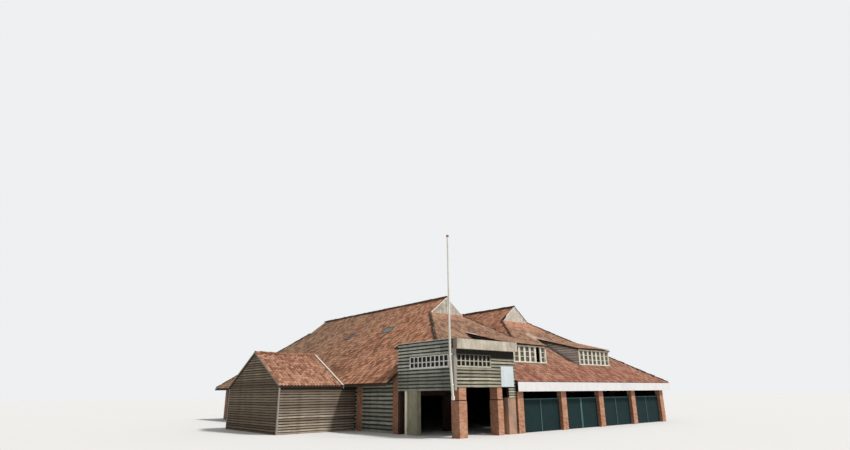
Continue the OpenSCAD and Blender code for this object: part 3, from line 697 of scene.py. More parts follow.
# %% Places of the dormers and roof lights
dormer_lo, dormer_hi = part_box("dormer_roofs")
dormer_w, dormer_rim, dormer_pitch = 4.3, 0.12, 14
dormer_x = [dormer_lo.x + dormer_rim, dormer_hi.x - dormer_rim - dormer_w]
dormer_front, dormer_tan = dormer_lo.y + dormer_rim, math.tan(math.radians(dormer_pitch))
dormer_eave = dormer_hi.z - (dormer_hi.y - dormer_lo.y) * dormer_tan
dormer_foot = dormer_eave - dormer_lo.y * dormer_tan
dormer_meet = (dormer_foot - eave_z + eave_f * front_tan) / (front_tan - dormer_tan)
light_lo, light_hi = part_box("roof_lights")
long_light, short_light, light_shift = 1.15, 0.575, 0.105
light_w = light_hi.x - light_lo.x - light_shift
lights = [(light_hi.x - light_w, light_lo.y, long_light),
          (light_lo.x, light_hi.y - short_light, short_light)]
hole_in, hole_back, hole_out = 0.1, 1.2, 0.02


def under_dormer(v):
    deep = dormer_front + hole_in < v.y < dormer_meet - hole_back
    return deep and any(x + hole_in < v.x < x + dormer_w - hole_in for x in dormer_x)


def under_light(v):
    return any(x - hole_out < v.x < x + light_w + hole_out and y - hole_out < v.y < y + l + hole_out
               for x, y, l in lights)


print("dormers at", [round(x, 2) for x in dormer_x], "meet the slope at", round(dormer_meet, 2))

# %% [markdown]
# Two things break the brown of the front slope. Below each gablet lies a band of tiles that were
# laid anew, still orange, and near the second dormer two spots have lost their dark skin. Both
# are numbers on the mesh that the clay reads.

# %% New and pale tiles
fresh_bands = ((ridge_l, 0.45, 0.7), (ridge_r, 0.9, 1.0))
pale_spots = ((15.5, 6.5, 0.42), (18.15, 6.13, 0.16))


def write_fresh(field, bands):
    """Marks the new tiles: a band of some depth and strength under each ridge's gablet."""
    co = coordinates(field)
    fresh = np.zeros(len(co))
    for ridge, deep, most in bands:
        reach = np.abs(co[:, 0] - ridge) / (half_gablet + 0.5)
        below = np.clip(1.3 - (gablet_z - co[:, 2]) / deep, 0, 1)
        fresh = np.maximum(fresh, below * np.clip((1.1 - reach) * 5, 0, 1) * most)
    write(field, "fresh", fresh)


def write_pale(field, spots):
    """Marks pale spots, each given by its place from the corner and its size."""
    co = coordinates(field)
    pale = np.zeros(len(co))
    for dx, dy, size in spots:
        gap = np.hypot(co[:, 0] - origin.x - dx, co[:, 1] - origin.y - dy)
        pale = np.maximum(pale, np.clip(2 - gap / size, 0, 1))
    write(field, "pale", pale)


print(len(fresh_bands), "new bands,", len(pale_spots), "pale spots")

# %% Tile the hall's slopes
crisp = 40

for name, (at, along, up, clay, outlines) in slopes.items():
    field = join([tile_part(at, along, up, outline) for outline in outlines], name)
    in_front = name == "front_slope_tiles"
    if in_front:
        drop(field, under_dormer)
        write_pale(field, pale_spots)
    if name == "left_slope_tiles":
        drop(field, under_light)
    write_fresh(field, fresh_bands if in_front else ())
    keep(field, "roof_tiles", clay, smooth=crisp)

# %% [markdown]
# ## The annex roof and the dormer roofs
# The annex is a light shed, and its ridge has sunk in the middle. Tiles, boarding and ridge
# caps take the same sag, which is nil at the gables and at the eaves. A dormer is tiled like
# the slope it grows out of, until its flatter plane meets that slope.

# %% Tile the annex
annex_sag = 0.07


def sunk(piece):
    """Lets the middle of the annex's ridge sink."""
    co = coordinates(piece)
    span = np.clip((co[:, 0] - annex_lo.x) / (annex_hi.x - annex_lo.x), 0, 1)
    rise = np.clip((co[:, 2] - annex_eave_z) / (annex_hi.z - annex_eave_z), 0, 1)
    co[:, 2] -= annex_sag * np.sin(math.pi * span) * rise
    set_coordinates(piece, co)
    return piece


def rectangle(x0, y0, x1, y1):
    return [(x0, y0), (x1, y0), (x1, y1), (x0, y1)]


annex_parts = [
    tile_part((annex_lo.x, annex_lo.y, annex_eave_z), (1, 0, 0), on_slope(annex_tan, 0, 1),
              rectangle(annex_lo.x, annex_lo.y, annex_hi.x, annex_mid)),
    tile_part((annex_hi.x, annex_hi.y, annex_eave_z), (-1, 0, 0), on_slope(annex_tan, 0, -1),
              rectangle(annex_lo.x, annex_mid, annex_hi.x, annex_hi.y)),
]
keep(sunk(join(annex_parts, "annex_tiles")), "roof_tiles", annex_clay, smooth=crisp)

annex_deck, annex_cuts = roof_decks["annex_roof"], 7
pick(annex_deck, "EDGE", lambda v: annex_lo.x + 0.1 < v.x < annex_hi.x - 0.1)
bpy.ops.mesh.subdivide(number_cuts=annex_cuts)
done()
sunk(annex_deck)

# %% Tile the dormers
dormer_parts = [
    tile_part((x - dormer_rim, dormer_lo.y, dormer_eave), (1, 0, 0), on_slope(dormer_tan, 0, 1),
              rectangle(x - dormer_rim, dormer_lo.y, x + dormer_w + dormer_rim, dormer_meet))
    for x in dormer_x
]
keep(join(dormer_parts, "dormer_tiles"), "roof_tiles", front_clay, smooth=crisp)
bpy.data.objects.remove(pantile)

# %% [markdown]
# ## Ridge and hip tiles
# Ridges and hips are covered by half-round tiles bedded in mortar. One cap is a half tube with
# a thicker front end; a row of them is copied along the line and turned to follow it. On the
# hips they are dark with soot, and here and there the mortar has spread and bleached.

# %% Cap material
def cap_clay(name, low, high, mortar, amount):
    material, tree, shader, coords = new_material(name)
    here = coords.outputs["Object"]
    fine = noise_at(tree, here, 0.05, 4.0, 0.7)
    colour = ramp(tree, stored(tree, "tone"), [(0.1, low), (0.9, high)])
    spread = mask(tree, noise_at(tree, here, 0.35, 4.0, 0.6), 0.62 - amount, 0.75 - amount)
    colour = tint(tree, spread, colour, mortar)
    colour = tint(tree, mask(tree, fine, 0.4, 0.8), colour, "#1f1a17", 0.4)
    return finish_material(material, tree, shader, colour, 0.9, fine, 0.006)

# %% The clay of the caps
ridge_clay = cap_clay("Sooty clay ridge tiles", "#3f322b", "#6d5142", "#756c61", 0.04)
red_caps = cap_clay("Red clay ridge tiles", "#6e4533", "#a8745b", "#84705c", 0.1)
hip_clay = cap_clay("Mortared clay hip tiles", "#33281f", "#5f4637", "#a29a8b", 0.04)

# %% Rows of caps
cap_pitch, cap_lap = 0.38, 0.04
cap_flare, cap_bore = 1.12, 0.82
cap_error = (0.006, 0.009, 0.004)


def cap_row(a, b, radius):
    """A row of half-round tiles from a to b."""
    length = cap_pitch + cap_lap
    bpy.ops.object.select_all(action="DESELECT")
    bpy.ops.mesh.primitive_cylinder_add(vertices=12, radius=radius, depth=length,
                                        end_fill_type="NOTHING", location=(0, 0, length / 2))
    cap = apply_place(bpy.context.object)
    trim(cap, (0, 0, 0), (0, -1, 0))
    pick(cap, "EDGE", lambda v: v.z < near)
    bpy.ops.transform.resize(value=(cap_flare, cap_flare, 1), center_override=(0, 0, 0))
    bpy.ops.mesh.extrude_region_move(TRANSFORM_OT_translate={"value": (0, 0, 0.002)})
    bpy.ops.transform.resize(value=(cap_bore, cap_bore, 1), center_override=(0, 0, 0))
    done()
    a, b = Vector(a), Vector(b)
    count = max(1, round((b - a).length / cap_pitch))
    repeat(cap, count, (0, 0, (b - a).length / count))
    vary(cap, count, cap_error)
    line = (b - a).normalized()
    side = Vector((line.y, -line.x, 0)).normalized()
    top = side.cross(line)
    if top.z < 0:
        top = -top
    side = top.cross(line)
    cap.matrix_world = Matrix.Translation(a) @ Matrix((side, top, line)).transposed().to_4x4()
    return apply_place(cap)

# %% Caps on the ridges
bedded = 0.05
ridge_rows = [cap_row((x, gablet_f, ridge_z - bedded), (x, gablet_b, ridge_z - bedded), 0.15)
              for x in (ridge_l, ridge_r)]
annex_row = cap_row((annex_lo.x, annex_mid, annex_hi.z - bedded),
                    (annex_hi.x, annex_mid, annex_hi.z - bedded), 0.14)
keep(join(ridge_rows, "ridge_caps"), "ridge_tiles", ridge_clay, "ridge_tiles", smooth=crisp)
rename(annex_row, "annex_ridge_caps")
keep(sunk(annex_row), "ridge_tiles", red_caps, "ridge_tiles", smooth=crisp)

# %% [markdown]
# A hip is the outer edge between two slopes. Its caps start a little above the eaves, and what
# would stick out past the eaves is cut off. The short inner hips run down to the valley.

# %% Caps on the hips
hips = [
    ((bay_line, front_y(bay_top), bay_top), (g_l, gablet_f, gablet_z)),
    ((eave_r, eave_f, eave_z), (h_r, gablet_f, gablet_z)),
    ((eave_l, eave_b, eave_z), (g_l, gablet_b, gablet_z)),
    ((eave_r, eave_b, eave_z), (h_r, gablet_b, gablet_z)),
]
eaves = [
    ((eave_r, 0, 0), (1, 0, 0)), ((eave_l, 0, 0), (-1, 0, 0)),
    ((0, eave_f, 0), (0, -1, 0)), ((0, eave_b, 0), (0, 1, 0)),
]
hip_rows, hip_start, hip_bed = [], 0.16, Vector((0, 0, 0.02))
for a, b in hips:
    a, b = Vector(a), Vector(b)
    first = a + (b - a).normalized() * hip_start
    hip_rows.append(cap_row(first - hip_bed, b - hip_bed, 0.1))
hip_caps = join(hip_rows, "hip_caps")
for at, outward in eaves:
    trim(hip_caps, at, outward)
keep(hip_caps, "ridge_tiles", hip_clay, "hip_tiles", smooth=crisp)

inner_rows, inner_bed = [], 0.01
for x in (h_l, g_r):
    for low_y, high_y in ((valley_f, gablet_f), (valley_b, gablet_b)):
        a, b = (valley_x, low_y, valley_z - inner_bed), (x, high_y, gablet_z - inner_bed)
        inner_rows.append(cap_row(a, b, 0.075))
keep(join(inner_rows, "inner_hip_caps"), "ridge_tiles", ridge_clay, smooth=crisp)

# %% [markdown]
# ## Weathered timber
# The boards are sawn softwood that was tarred or painted long ago and has weathered to a grey
# green. Sun and rain wash out the soft early wood, so the grain stands up along the board. Each
# board has its own tone, and a second number on the mesh runs from its foot to its top: the top,
# under the lap above, is painted dark, partly as its old tarred surface and partly as painted
# shade of the lap, while the foot is washed pale. Some boards also get a painted shadow band
# above a given height.

# %% Weatherboard material
def weathered_boards(name, dark, middle, pale, stain, tar_and_shade="#24211f", painted_shadow_from=None, lap_dark_from=0.4, damp=None):
    material, tree, shader, coords = new_material(name)
    flat, here = coords.outputs["UV"], coords.outputs["Object"]
    grain = noise_at(tree, flat, 0.03, 4.0, 0.65, (16, 1, 1))
    mixed = math_of(tree, "MULTIPLY_ADD", noise_at(tree, flat, 0.4, 4.0, 0.6, (2.6, 0.5, 1)), 1.1, -0.3)
    mixed = math_of(tree, "MULTIPLY_ADD", stored(tree, "tone"), 0.5, mixed)
    colour = ramp(tree, mixed, [(0.1, dark), (0.5, middle), (0.9, pale)])
    colour = tint(tree, mask(tree, grain, 0.45, 0.75, 0.7), colour, "#2a2620", 0.55)
    stained = mask(tree, noise_at(tree, here, 0.9, 4.0, 0.6), 0.52, 0.78, 0.8)
    colour = tint(tree, stained, colour, stain)
    wander = noise_at(tree, flat, 0.12, 4.0, 0.7, (2, 1, 1))
    lap_tar_and_shade = math_of(tree, "MULTIPLY_ADD", wander, 0.6, stored(tree, "lap"))
    # Painted dark towards each board's top: its old tarred surface, and painted shade under the lap.
    colour = tint(tree, mask(tree, lap_tar_and_shade, 0.33 + lap_dark_from, 0.57 + lap_dark_from), colour, tar_and_shade)
    if damp:
        wet = math_of(tree, "SUBTRACT", 1.0, along_axis(tree, here, 2, damp - 0.5, damp + 0.3))
        colour = tint(tree, math_of(tree, "MULTIPLY", wet, 0.4), colour, "#3c3d38")
    # Painted shadow: above the given height the boards take the dark colour, for the shade of what overhangs
    # them.
    if painted_shadow_from:
        colour = tint(tree, along_axis(tree, here, 2, painted_shadow_from, painted_shadow_from + 0.15), colour, tar_and_shade)
    return finish_material(material, tree, shader, colour, 0.9, grain, 0.005)

# %% The five woods
# The sunny side's boards are painted dark from 4.37 m up: the painted shadow of the bay's fascia.
bay_wood = weathered_boards(
    "Weathered softwood weatherboards, sunny side",
    "#7d7868", "#b0aa94", "#d6cfb8", "#817b6a", tar_and_shade="#25211e", painted_shadow_from=4.37, lap_dark_from=0.36)
# The shady side's copy is painted paler than the sunny side's, as painted light for the faces in shade.
shade_wood = weathered_boards(
    "Weathered softwood weatherboards, shady side",
    "#8b8d82", "#c3c4b5", "#e9eadb", "#8c8e83", tar_and_shade="#2a2b29", lap_dark_from=0.34, damp=3.9)
annex_wood = weathered_boards(
    "Sun-bleached brown weatherboards",
    "#574a3a", "#7d6d5a", "#a59581", "#615341", tar_and_shade="#30271f", lap_dark_from=0.36)
# The annex's side boards are painted dark from 2.6 m up: the painted shadow of the eaves.
annex_wood_eaves_shadow = weathered_boards(
    "Brown weatherboards with painted eaves shadow",
    "#6b5e4f", "#998b79", "#cabba8", "#7b6e62", tar_and_shade="#33291f", painted_shadow_from=2.6, lap_dark_from=0.36)
# The dormer cheeks stand in shade; their boards are painted far paler than the grey timber, as painted light.
cheek_wood = weathered_boards(
    "Weathered softwood dormer boards",
    "#bfbab3", "#dfdbd4", "#f2efe9", "#cac6be", tar_and_shade="#979188", lap_dark_from=0.5)

# %% [markdown]
# Beams, roof boarding and corner timber have no laps. They share one simpler material: two
# tones mixed by noise that is stretched along the grain.

# %% Plain timber material
def sawn_wood(name, dark, pale, grain_axis=2):
    """Plain timber without laps, with its grain along one axis."""
    material, tree, shader, coords = new_material(name)
    here = coords.outputs["Object"]
    along = [12 if i == grain_axis else 1 for i in range(3)]
    grain = noise_at(tree, here, 0.05, 5.0, 0.65, along)
    colour = blend(tree, noise_at(tree, here, 0.6, 4.0, 0.6, along), dark, pale)
    colour = tint(tree, mask(tree, grain, 0.45, 0.75, 0.6), colour, "#211c18", 0.5)
    return finish_material(material, tree, shader, colour, 0.9, grain, 0.003)


# Dark timber; where it lines the undercroft and the first dormer's cheek it is painted shade.
dark_timber = sawn_wood("Sooty structural softwood and painted shade", "#1d1814", "#3f352b")
deck_wood = sawn_wood("Sooty roof boarding", "#2a221c", "#4b3f34", 1)
grey_wood = sawn_wood("Weathered grey corner timber", "#827b73", "#b3aba1")

# %% [markdown]
# ## Lapped boards
# Weatherboards are thin planks that overlap like scales: each stands out at its foot, where it
# covers the one below, and lies against the wall at its top. One board is a long block whose
# top edge is pushed in. Short cuts along its length let the foot wander a little, as warped
# boards do. The boards are then stacked. A window hole is cut by planes: the boards left of it,
# right of it, below it and above it are four cut copies of the same stack.

# %% Stack of boards
board_t, board_lap, cut_every, off_wall = 0.02, 0.03, 0.5, 0.001
board_error, warp = (0, 0.001, 0.004), 0.006


def warp_boards(board, count, pitch):
    """Lets the foot of each board wander a little up, down, in and out."""
    co = coordinates(board)
    rows = np.repeat(np.arange(count), len(co) // count)
    foot = (co[:, 2] - rows * pitch) < pitch * 0.5
    sway = np.sin(co[:, 0] * 2.1 + rows * 1.7) + 0.7 * np.sin(co[:, 0] * 5.3 + rows * 2.9)
    co[:, 2] += foot * sway * warp
    co[:, 1] += foot * np.sin(co[:, 0] * 3.1 + rows * 4.1) * warp * 0.5
    set_coordinates(board, co)


def boarding(length, bottom, top, pitch, out=0.045, low=0.0, high=1.0):
    """Lapped boards in the X-Z plane, standing out towards -Y."""
    cuts = max(2, int(length / cut_every))
    count = max(1, math.ceil((top - bottom) / pitch - 0.02))
    board = start("boards", (length, board_t, pitch + board_lap))
    pick(board, "EDGE", lambda v: abs(v.x - length / 2) < near)
    bpy.ops.mesh.subdivide(number_cuts=cuts)
    done()
    move(board, "VERT", lambda v: v.z < 0.01, (0, -out, 0))
    move(board, "VERT", lambda v: v.z > 0.01, (0, -board_t - off_wall, 0))
    write(board, "lap", coordinates(board)[:, 2] > pitch / 2)
    repeat(board, count, (0, 0, pitch))
    vary(board, count, board_error, low, high)
    warp_boards(board, count, pitch)
    lay_flat(board, turn=True)
    co = coordinates(board)
    co[:, 2] += bottom
    set_coordinates(board, co)
    if bottom == 0:
        trim(board, (0, 0, 0), (0, 0, -1), fill=True)
    return trim(board, (0, 0, top), (0, 0, 1), fill=True)


print("boards are", board_t, "m thick and warp by", warp, "m")

# %% Window holes
def cut_out(piece, lo, hi, axis=0):
    """Cuts a hole between two corners out of a wall that runs along X or Y."""
    out = Vector((1, 0, 0)) if axis == 0 else Vector((0, 1, 0))
    between = ((lo, -out), (hi, out))
    sides = (((lo, out),), ((hi, -out),), between + ((lo, upwards),), between + ((hi, -upwards),))
    name, parts = piece.name, []
    for cuts in sides:
        part = copy_of(piece)
        for at, outward in cuts:
            trim(part, at, outward, fill=True)
        if len(part.data.vertices):
            parts.append(part)
        else:
            bpy.data.objects.remove(part)
    bpy.data.objects.remove(piece)
    return join(parts, name)

# %% Places of the windows
frames_lo, frames_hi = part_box("bay_window_frames")
notice_lo, notice_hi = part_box("notice_board")
sill_z, head_z = frames_lo.z, frames_hi.z
left_win = (bay_y + 0.42, frames_hi.y)
front_win = (bay_x + 0.16, bay_x + 3.08)
print("windows from", round(sill_z, 2), "to", round(head_z, 2), "m up")

# %% [markdown]
# The bay's left wall is boarded in two lengths that meet in a joint near the corner. The short
# length at the corner has kept more of its tar, so its tones are drawn from the dark end.

# %% Boards of the bay's left wall
side_lap, joint_gap, corner_clear = 0.21, 0.012, 0.1
joint_y = bay_y + 1.16
rear_part = stand(boarding(bay_back - joint_y, bay_lo.z, bay_top, side_lap),
                  (bay_x, bay_back, 0), (0, -1, 0))
dark_stack = boarding(joint_y - bay_y - joint_gap, bay_lo.z, bay_top, side_lap, low=-0.5, high=0.1)
corner_part = stand(dark_stack, (bay_x, joint_y - joint_gap, 0), (0, -1, 0))
left_boards = join([rear_part, corner_part], "left_boards")
trim(left_boards, (0, bay_y + corner_clear, 0), (0, -1, 0), fill=True)
left_boards = cut_out(left_boards, (bay_x, left_win[0], sill_z), (bay_x, left_win[1], head_z), axis=1)
keep(left_boards, "weathered_boards", shade_wood)

# %% Boards of the bay's front
bay_w = bay_end - bay_x
canopy_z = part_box("bay_fascia")[0].z
bay_front_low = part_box("bay_right_wall")[0].z
front_lap, low_lap, low_w, low_h, tuck = 0.2, 0.158, 0.65, 0.63, 0.02
front_boards = stand(boarding(bay_w, bay_front_low, canopy_z + tuck, front_lap),
                     (bay_x, bay_y, 0), (1, 0, 0))
front_boards = cut_out(front_boards, (front_win[0], bay_y, sill_z), (front_win[1], bay_y, head_z))
front_boards = cut_out(front_boards, (notice_lo.x + tuck, bay_y, notice_lo.z + tuck),
                       (notice_hi.x - tuck, bay_y, notice_hi.z - tuck))
trim(front_boards, (bay_x + corner_clear, 0, 0), (-1, 0, 0), fill=True)
low_boards = stand(boarding(low_w, bay_front_low - low_h, bay_front_low, low_lap),
                   (bay_end - low_w, bay_y, 0), (1, 0, 0))
keep(join([front_boards, low_boards], "front_boards"), "weathered_boards", bay_wood)

# %% Boards of the bay's right and rear walls
right_boards = stand(boarding(bay_back - bay_y, bay_front_low, bay_top, front_lap),
                     (bay_end, bay_y, 0), (0, 1, 0))
trim(right_boards, (0, eave_f, eave_z), (0, front_tan, -1))
rear_boards = stand(boarding(bay_w, bay_front_low, bay_top, side_lap), (bay_end, bay_back, 0), (-1, 0, 0))
trim(rear_boards, (eave_l, 0, eave_z), (side_tan, 0, -1))
keep(join([right_boards, rear_boards], "bay_side_boards"), "weathered_boards", shade_wood)

# %% [markdown]
# The annex has narrower boards. The front and rear walls are plain stacks, and the gable is a
# taller stack cut along both slopes of the roof.

# %% Boards of the annex
annex_wall_lo, annex_wall_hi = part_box("annex_side_walls")
annex_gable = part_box("annex_gable_wall")[0]
annex_long, annex_deep = annex_wall_hi.x - annex_gable.x, annex_wall_hi.y - annex_wall_lo.y
annex_lap, post_side, lap_out = 0.165, 0.1, 0.075
annex_front = stand(boarding(annex_long, 0, annex_wall_hi.z, annex_lap),
                    (annex_gable.x, annex_wall_lo.y, 0), (1, 0, 0))
annex_rear = stand(boarding(annex_long, 0, annex_wall_hi.z, annex_lap),
                   (annex_wall_hi.x, annex_wall_hi.y, 0), (-1, 0, 0))
keep(join([annex_front, annex_rear], "annex_side_boards"), "weathered_boards", annex_wood_eaves_shadow)
annex_end = stand(boarding(annex_deep, 0, annex_hi.z, annex_lap),
                  (annex_gable.x, annex_wall_hi.y, 0), (0, -1, 0))
for y, sign in ((annex_lo.y, -1), (annex_hi.y, 1)):
    trim(annex_end, (0, y, annex_eave_z - annex_t), (0, sign * annex_tan, 1), fill=True)
keep(rename(annex_end, "annex_gable_boards"), "weathered_boards", annex_wood)
# %% Corner posts of the annex
post_size = (post_side, post_side, annex_eave_z - annex_t)
corner_posts = [start("post", post_size, (annex_gable.x - lap_out, y, 0))
                for y in (annex_wall_lo.y - lap_out, annex_wall_hi.y + lap_out - post_side)]
for post in corner_posts:
    soften(post, 0.008, lambda v: 0.1 < v.z < 2.5)
keep(join(corner_posts, "annex_corner_posts"), "weathered_boards", grey_wood)

# %% [markdown]
# The hall's other walls are boards between brick piers. The spans are found once, because the
# piers are set by the same step further down.

# %% Boards of the hall's side and rear walls
left_wall_lo, left_wall_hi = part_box("left_wall")
right_wall_lo, right_wall_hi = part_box("right_wall")
rear_wall_lo, rear_wall_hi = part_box("rear_wall")
left_spans, right_spans, rear_spans = 7, 8, 6
pier_w, hall_lap = 0.56, 0.26
wall_top = eave_z + 0.55
rear_top = wall_top - 0.2


def span_step(low, high, count):
    """The distance from one pier of a wall to the next."""
    return (high - low + pier_w) / count


def panels(low, high, count):
    """The clear spans between piers along a wall."""
    pitch = span_step(low, high, count)
    return [(low + i * pitch, low + (i + 1) * pitch - pier_w) for i in range(count)]


print(left_spans + right_spans + rear_spans, "spans between piers")
# %% Fill the spans with boards
side_panels = []
for a, b in panels(left_wall_lo.y, left_wall_hi.y, left_spans):
    side_panels.append(stand(boarding(b - a, 0, wall_top, hall_lap), (left_wall_lo.x, b, 0), (0, -1, 0)))
for a, b in panels(right_wall_lo.y, right_wall_hi.y, right_spans):
    side_panels.append(stand(boarding(b - a, 0, wall_top, hall_lap), (right_wall_hi.x, a, 0), (0, 1, 0)))
for a, b in panels(rear_wall_lo.x, rear_wall_hi.x, rear_spans):
    side_panels.append(stand(boarding(b - a, 0, rear_top, hall_lap), (b, rear_wall_hi.y, 0), (-1, 0, 0)))
keep(join(side_panels, "hall_wall_boards"), "weathered_boards", shade_wood)

# %% [markdown]
# Each dormer has boarded cheeks. The left cheek of the first dormer lies behind the bay's roof
# in deep shade, so its boards get the near-black timber as painted shade.

# %% Boards of the dormer cheeks
cheek_foot, cheek_top, cheek_lap, cheek_out = 4.3, 6.9, 0.19, 0.03
under_roof, into_slope = 0.1, 0.05
cheek_boards = []
for x in dormer_x:
    for side, along in ((x, (0, -1, 0)), (x + dormer_w, (0, 1, 0))):
        begin = dormer_meet if along[1] < 0 else dormer_front
        cheek = boarding(dormer_meet - dormer_front, cheek_foot, cheek_top, cheek_lap, out=cheek_out)
        stand(cheek, (side, begin, 0), along)
        trim(cheek, (0, dormer_lo.y, dormer_eave - under_roof), (0, -dormer_tan, 1))
        trim(cheek, (0, eave_f, eave_z - into_slope), (0, front_tan, -1))
        cheek_boards.append(cheek)
# Painted shade: the first dormer's left cheek is near black.
keep(rename(cheek_boards[0], "painted_shade_cheek_boards"), "weathered_boards", dark_timber)
keep(join(cheek_boards[1:], "cheek_boards"), "weathered_boards", cheek_wood)

# %% [markdown]
# ## The gablets
# The small gables under the ridge ends are closed with upright planks that were once
# whitewashed. They are edged by slim boards, white at the front, where the right roof has lost
# the left foot of its own, and bare at the rear. The planks are copied side by side and cut to
# the triangle.

# %% Limewash and verge paint
def limewash(name, base, worn, dirt):
    material, tree, shader, coords = new_material(name)
    here = coords.outputs["Object"]
    grain = noise_at(tree, here, 0.04, 4.0, 0.6, (1, 1, 12))
    worn_off = math_of(tree, "MULTIPLY", noise_at(tree, here, 0.3, 5.0, 0.7, (1, 1, 1.3)), 1.1)
    mixed = math_of(tree, "MULTIPLY_ADD", stored(tree, "tone"), 0.3, worn_off)
    colour = ramp(tree, mixed, [(0.45, worn), (0.75, base)])
    colour = tint(tree, mask(tree, grain, 0.5, 0.75, 0.6), colour, dirt)
    return finish_material(material, tree, shader, colour, 0.85, grain, 0.003)

# %% The paints of the gablets
plank_wash = limewash("Worn limewash on upright planks", "#d0c9bb", "#928c7d", "#77715f")
verge_white = limewash("Worn white verge paint", "#f2ede3", "#dcd5c8", "#a8a193")
verge_grey = limewash("Rain-greyed white verge paint", "#cbc4b8", "#aaa397", "#807a6f")
verge_bare = limewash("Bare weathered verge board", "#b3a998", "#8d8373", "#4a4239")
annex_verge = limewash("Grey weathered verge board", "#7d7968", "#625f50", "#423f35")

# %% Planks
plank_w, plank_t, plank_gap = 0.15, 0.014, 0.008
plank_error = (0.001, 0.0015, 0.02)
gablet_h, spare_h = ridge_z - gablet_z, 0.1
count = math.ceil(2 * half_gablet / plank_w)
gablet_planks = []
for x, tones in ((ridge_l, (-0.2, 0.7)), (ridge_r, (0.4, 1.1))):
    for y, along in ((gablet_f, (1, 0, 0)), (gablet_b, (-1, 0, 0))):
        size = (plank_w - plank_gap, plank_t, gablet_h + spare_h)
        plank = start("plank", size, (0, -plank_t, gablet_z - spare_h))
        repeat(plank, count, (plank_w, 0, 0))
        vary(plank, count, plank_error, *tones)
        stand(plank, (x - along[0] * half_gablet, y, 0), along)
        for sign in (-1, 1):
            trim(plank, (x, 0, ridge_z - 0.12), (sign * side_tan, 0, 1), fill=True)
        trim(plank, (0, 0, gablet_z + 0.02), (0, 0, -1), fill=True)
        gablet_planks.append(plank)
keep(join(gablet_planks, "gablet_planks"), "gablet_boards", plank_wash)

# %% [markdown]
# The CAD model has all verge boards in one node, broader than the real ones. A copy of it is
# taken apart, and each board is made slimmer by moving its inner point up, or its feet out.

# %% Verge boards
slimmer, lean = 0.11, math.atan(side_tan)


def slim_down(verge, ridge):
    """Makes a gablet's board slimmer."""
    move(verge, "VERT", lambda v: abs(v.x - ridge) < 0.05 and v.z < ridge_z - 0.1,
         (0, 0, slimmer / math.cos(lean)))
    for sign in (-1, 1):
        move(verge, "VERT", lambda v: (v.x - ridge) * sign > 0.3 and v.z > gablet_z + 0.05,
             (sign * slimmer / math.tan(lean / 2), 0, -slimmer))


def slim_down_annex(verge):
    """Makes the annex's outer board slimmer."""
    move(verge, "VERT", lambda v: v.z < annex_hi.z - 0.08 - abs(v.y - annex_mid) * annex_tan,
         (0, 0, 0.12))

# %% Take the verge boards apart
verges = copy_of_node("bargeboards", "verge_board")
only(verges)
bpy.ops.mesh.separate(type="LOOSE")
for verge in list(bpy.context.selected_objects):
    write(verge, "tone", np.full(len(verge.data.vertices), 0.6))
    middle = coordinates(verge).mean(axis=0)
    if middle[0] < annex_lo.x:
        slim_down_annex(verge)
        keep(rename(verge, "annex_left_verge"), "painted_boards", annex_verge, "bargeboards")
        continue
    if middle[0] < annex_hi.x + 0.3:
        keep(rename(verge, "annex_right_verge"), "painted_boards", verge_white, "bargeboards")
        continue
    roof = "left" if middle[0] < valley_x else "right"
    end = "front" if middle[1] < 0 else "rear"
    slim_down(verge, ridge_l if roof == "left" else ridge_r)
    rename(verge, f"{roof}_{end}_verge")
    if roof == "right" and end == "front":
        verge = cut_out(verge, (h_l - 0.1, gablet_f, gablet_z - 0.1),
                        (h_l + 0.62, gablet_f, gablet_z + 0.36))
    keep(verge, "painted_boards", verge_white if end == "front" else verge_bare, "bargeboards")

# %% [markdown]
# A thin near-black strip along the right roof's gable and along both edges of each dormer is
# painted shade: it draws the dark gap under the verge tiles. On the right roof's front the left
# strip is left only at its foot. The strips are thin and follow the slopes.

# %% Verge slips
# Painted shade: near-black strips for the dark gap under the verges.
verge_shade_black = sawn_wood("Near-black verge strips as painted shade", "#17130f", "#2b241f")
slip_t, dormer_slip, slip_in = 0.04, 0.17, 0.02
slope_l = math.hypot(half_gablet, gablet_h)
slips = []
for y in (gablet_f - 0.045, gablet_b + 0.005):
    for sign in (-1, 1):
        share = 0.35 if y < 0 and sign < 0 else 1
        slip = start("slip", (slope_l * share, 0.12 if sign < 0 else 0.07, slip_t))
        foot = (ridge_r + sign * half_gablet, y if sign > 0 else y + slip_t, gablet_z - 0.03)
        slips.append(place(slip, foot, (-sign * half_gablet, 0, gablet_h),
                           (sign * gablet_h, 0, half_gablet)))
# %% Slips along the dormers
dormer_run = (dormer_meet - dormer_lo.y) * math.hypot(1, dormer_tan)
for x in dormer_x:
    for edge in (x - dormer_rim - slip_in, x + dormer_w + dormer_rim - slip_in):
        slip = start("slip", (dormer_run, dormer_slip, slip_t))
        foot = (edge, dormer_lo.y + slip_in, dormer_eave - dormer_slip)
        slips.append(stand(slip, foot, (0, 1, 0)))
        co = coordinates(slip)
        co[:, 2] += (co[:, 1] - dormer_lo.y) * dormer_tan
        set_coordinates(slip, co)
for slip in slips:
    soften(slip, 0.006)
keep(join(slips, "verge_shade_strips"), "timber_frame", verge_shade_black)

# %% [markdown]
# A broad board, its white paint greyed by rain, lies on the tiles at the annex's inner verge,
# up one slope and down the other.

# %% Board on the inner verge
verge_caps, cap_w, cap_t = [], 0.14, 0.022
for y, sign in ((annex_lo.y, 1), (annex_hi.y, -1)):
    slope = on_slope(annex_tan, 0, sign)
    board = start("board", (cap_w, (annex_mid - annex_lo.y) / slope[1] * sign, cap_t))
    soften(board, 0.004, lambda v: v.z > 0.02)
    edge_x = annex_hi.x + 0.01 - (cap_w if sign > 0 else 0)
    verge_caps.append(place(board, (edge_x, y, annex_eave_z + 0.03), (sign, 0, 0), slope))
caps = join(verge_caps, "annex_verge_caps")
write(caps, "tone", np.full(len(caps.data.vertices), 0.8))
keep(caps, "painted_boards", verge_grey)
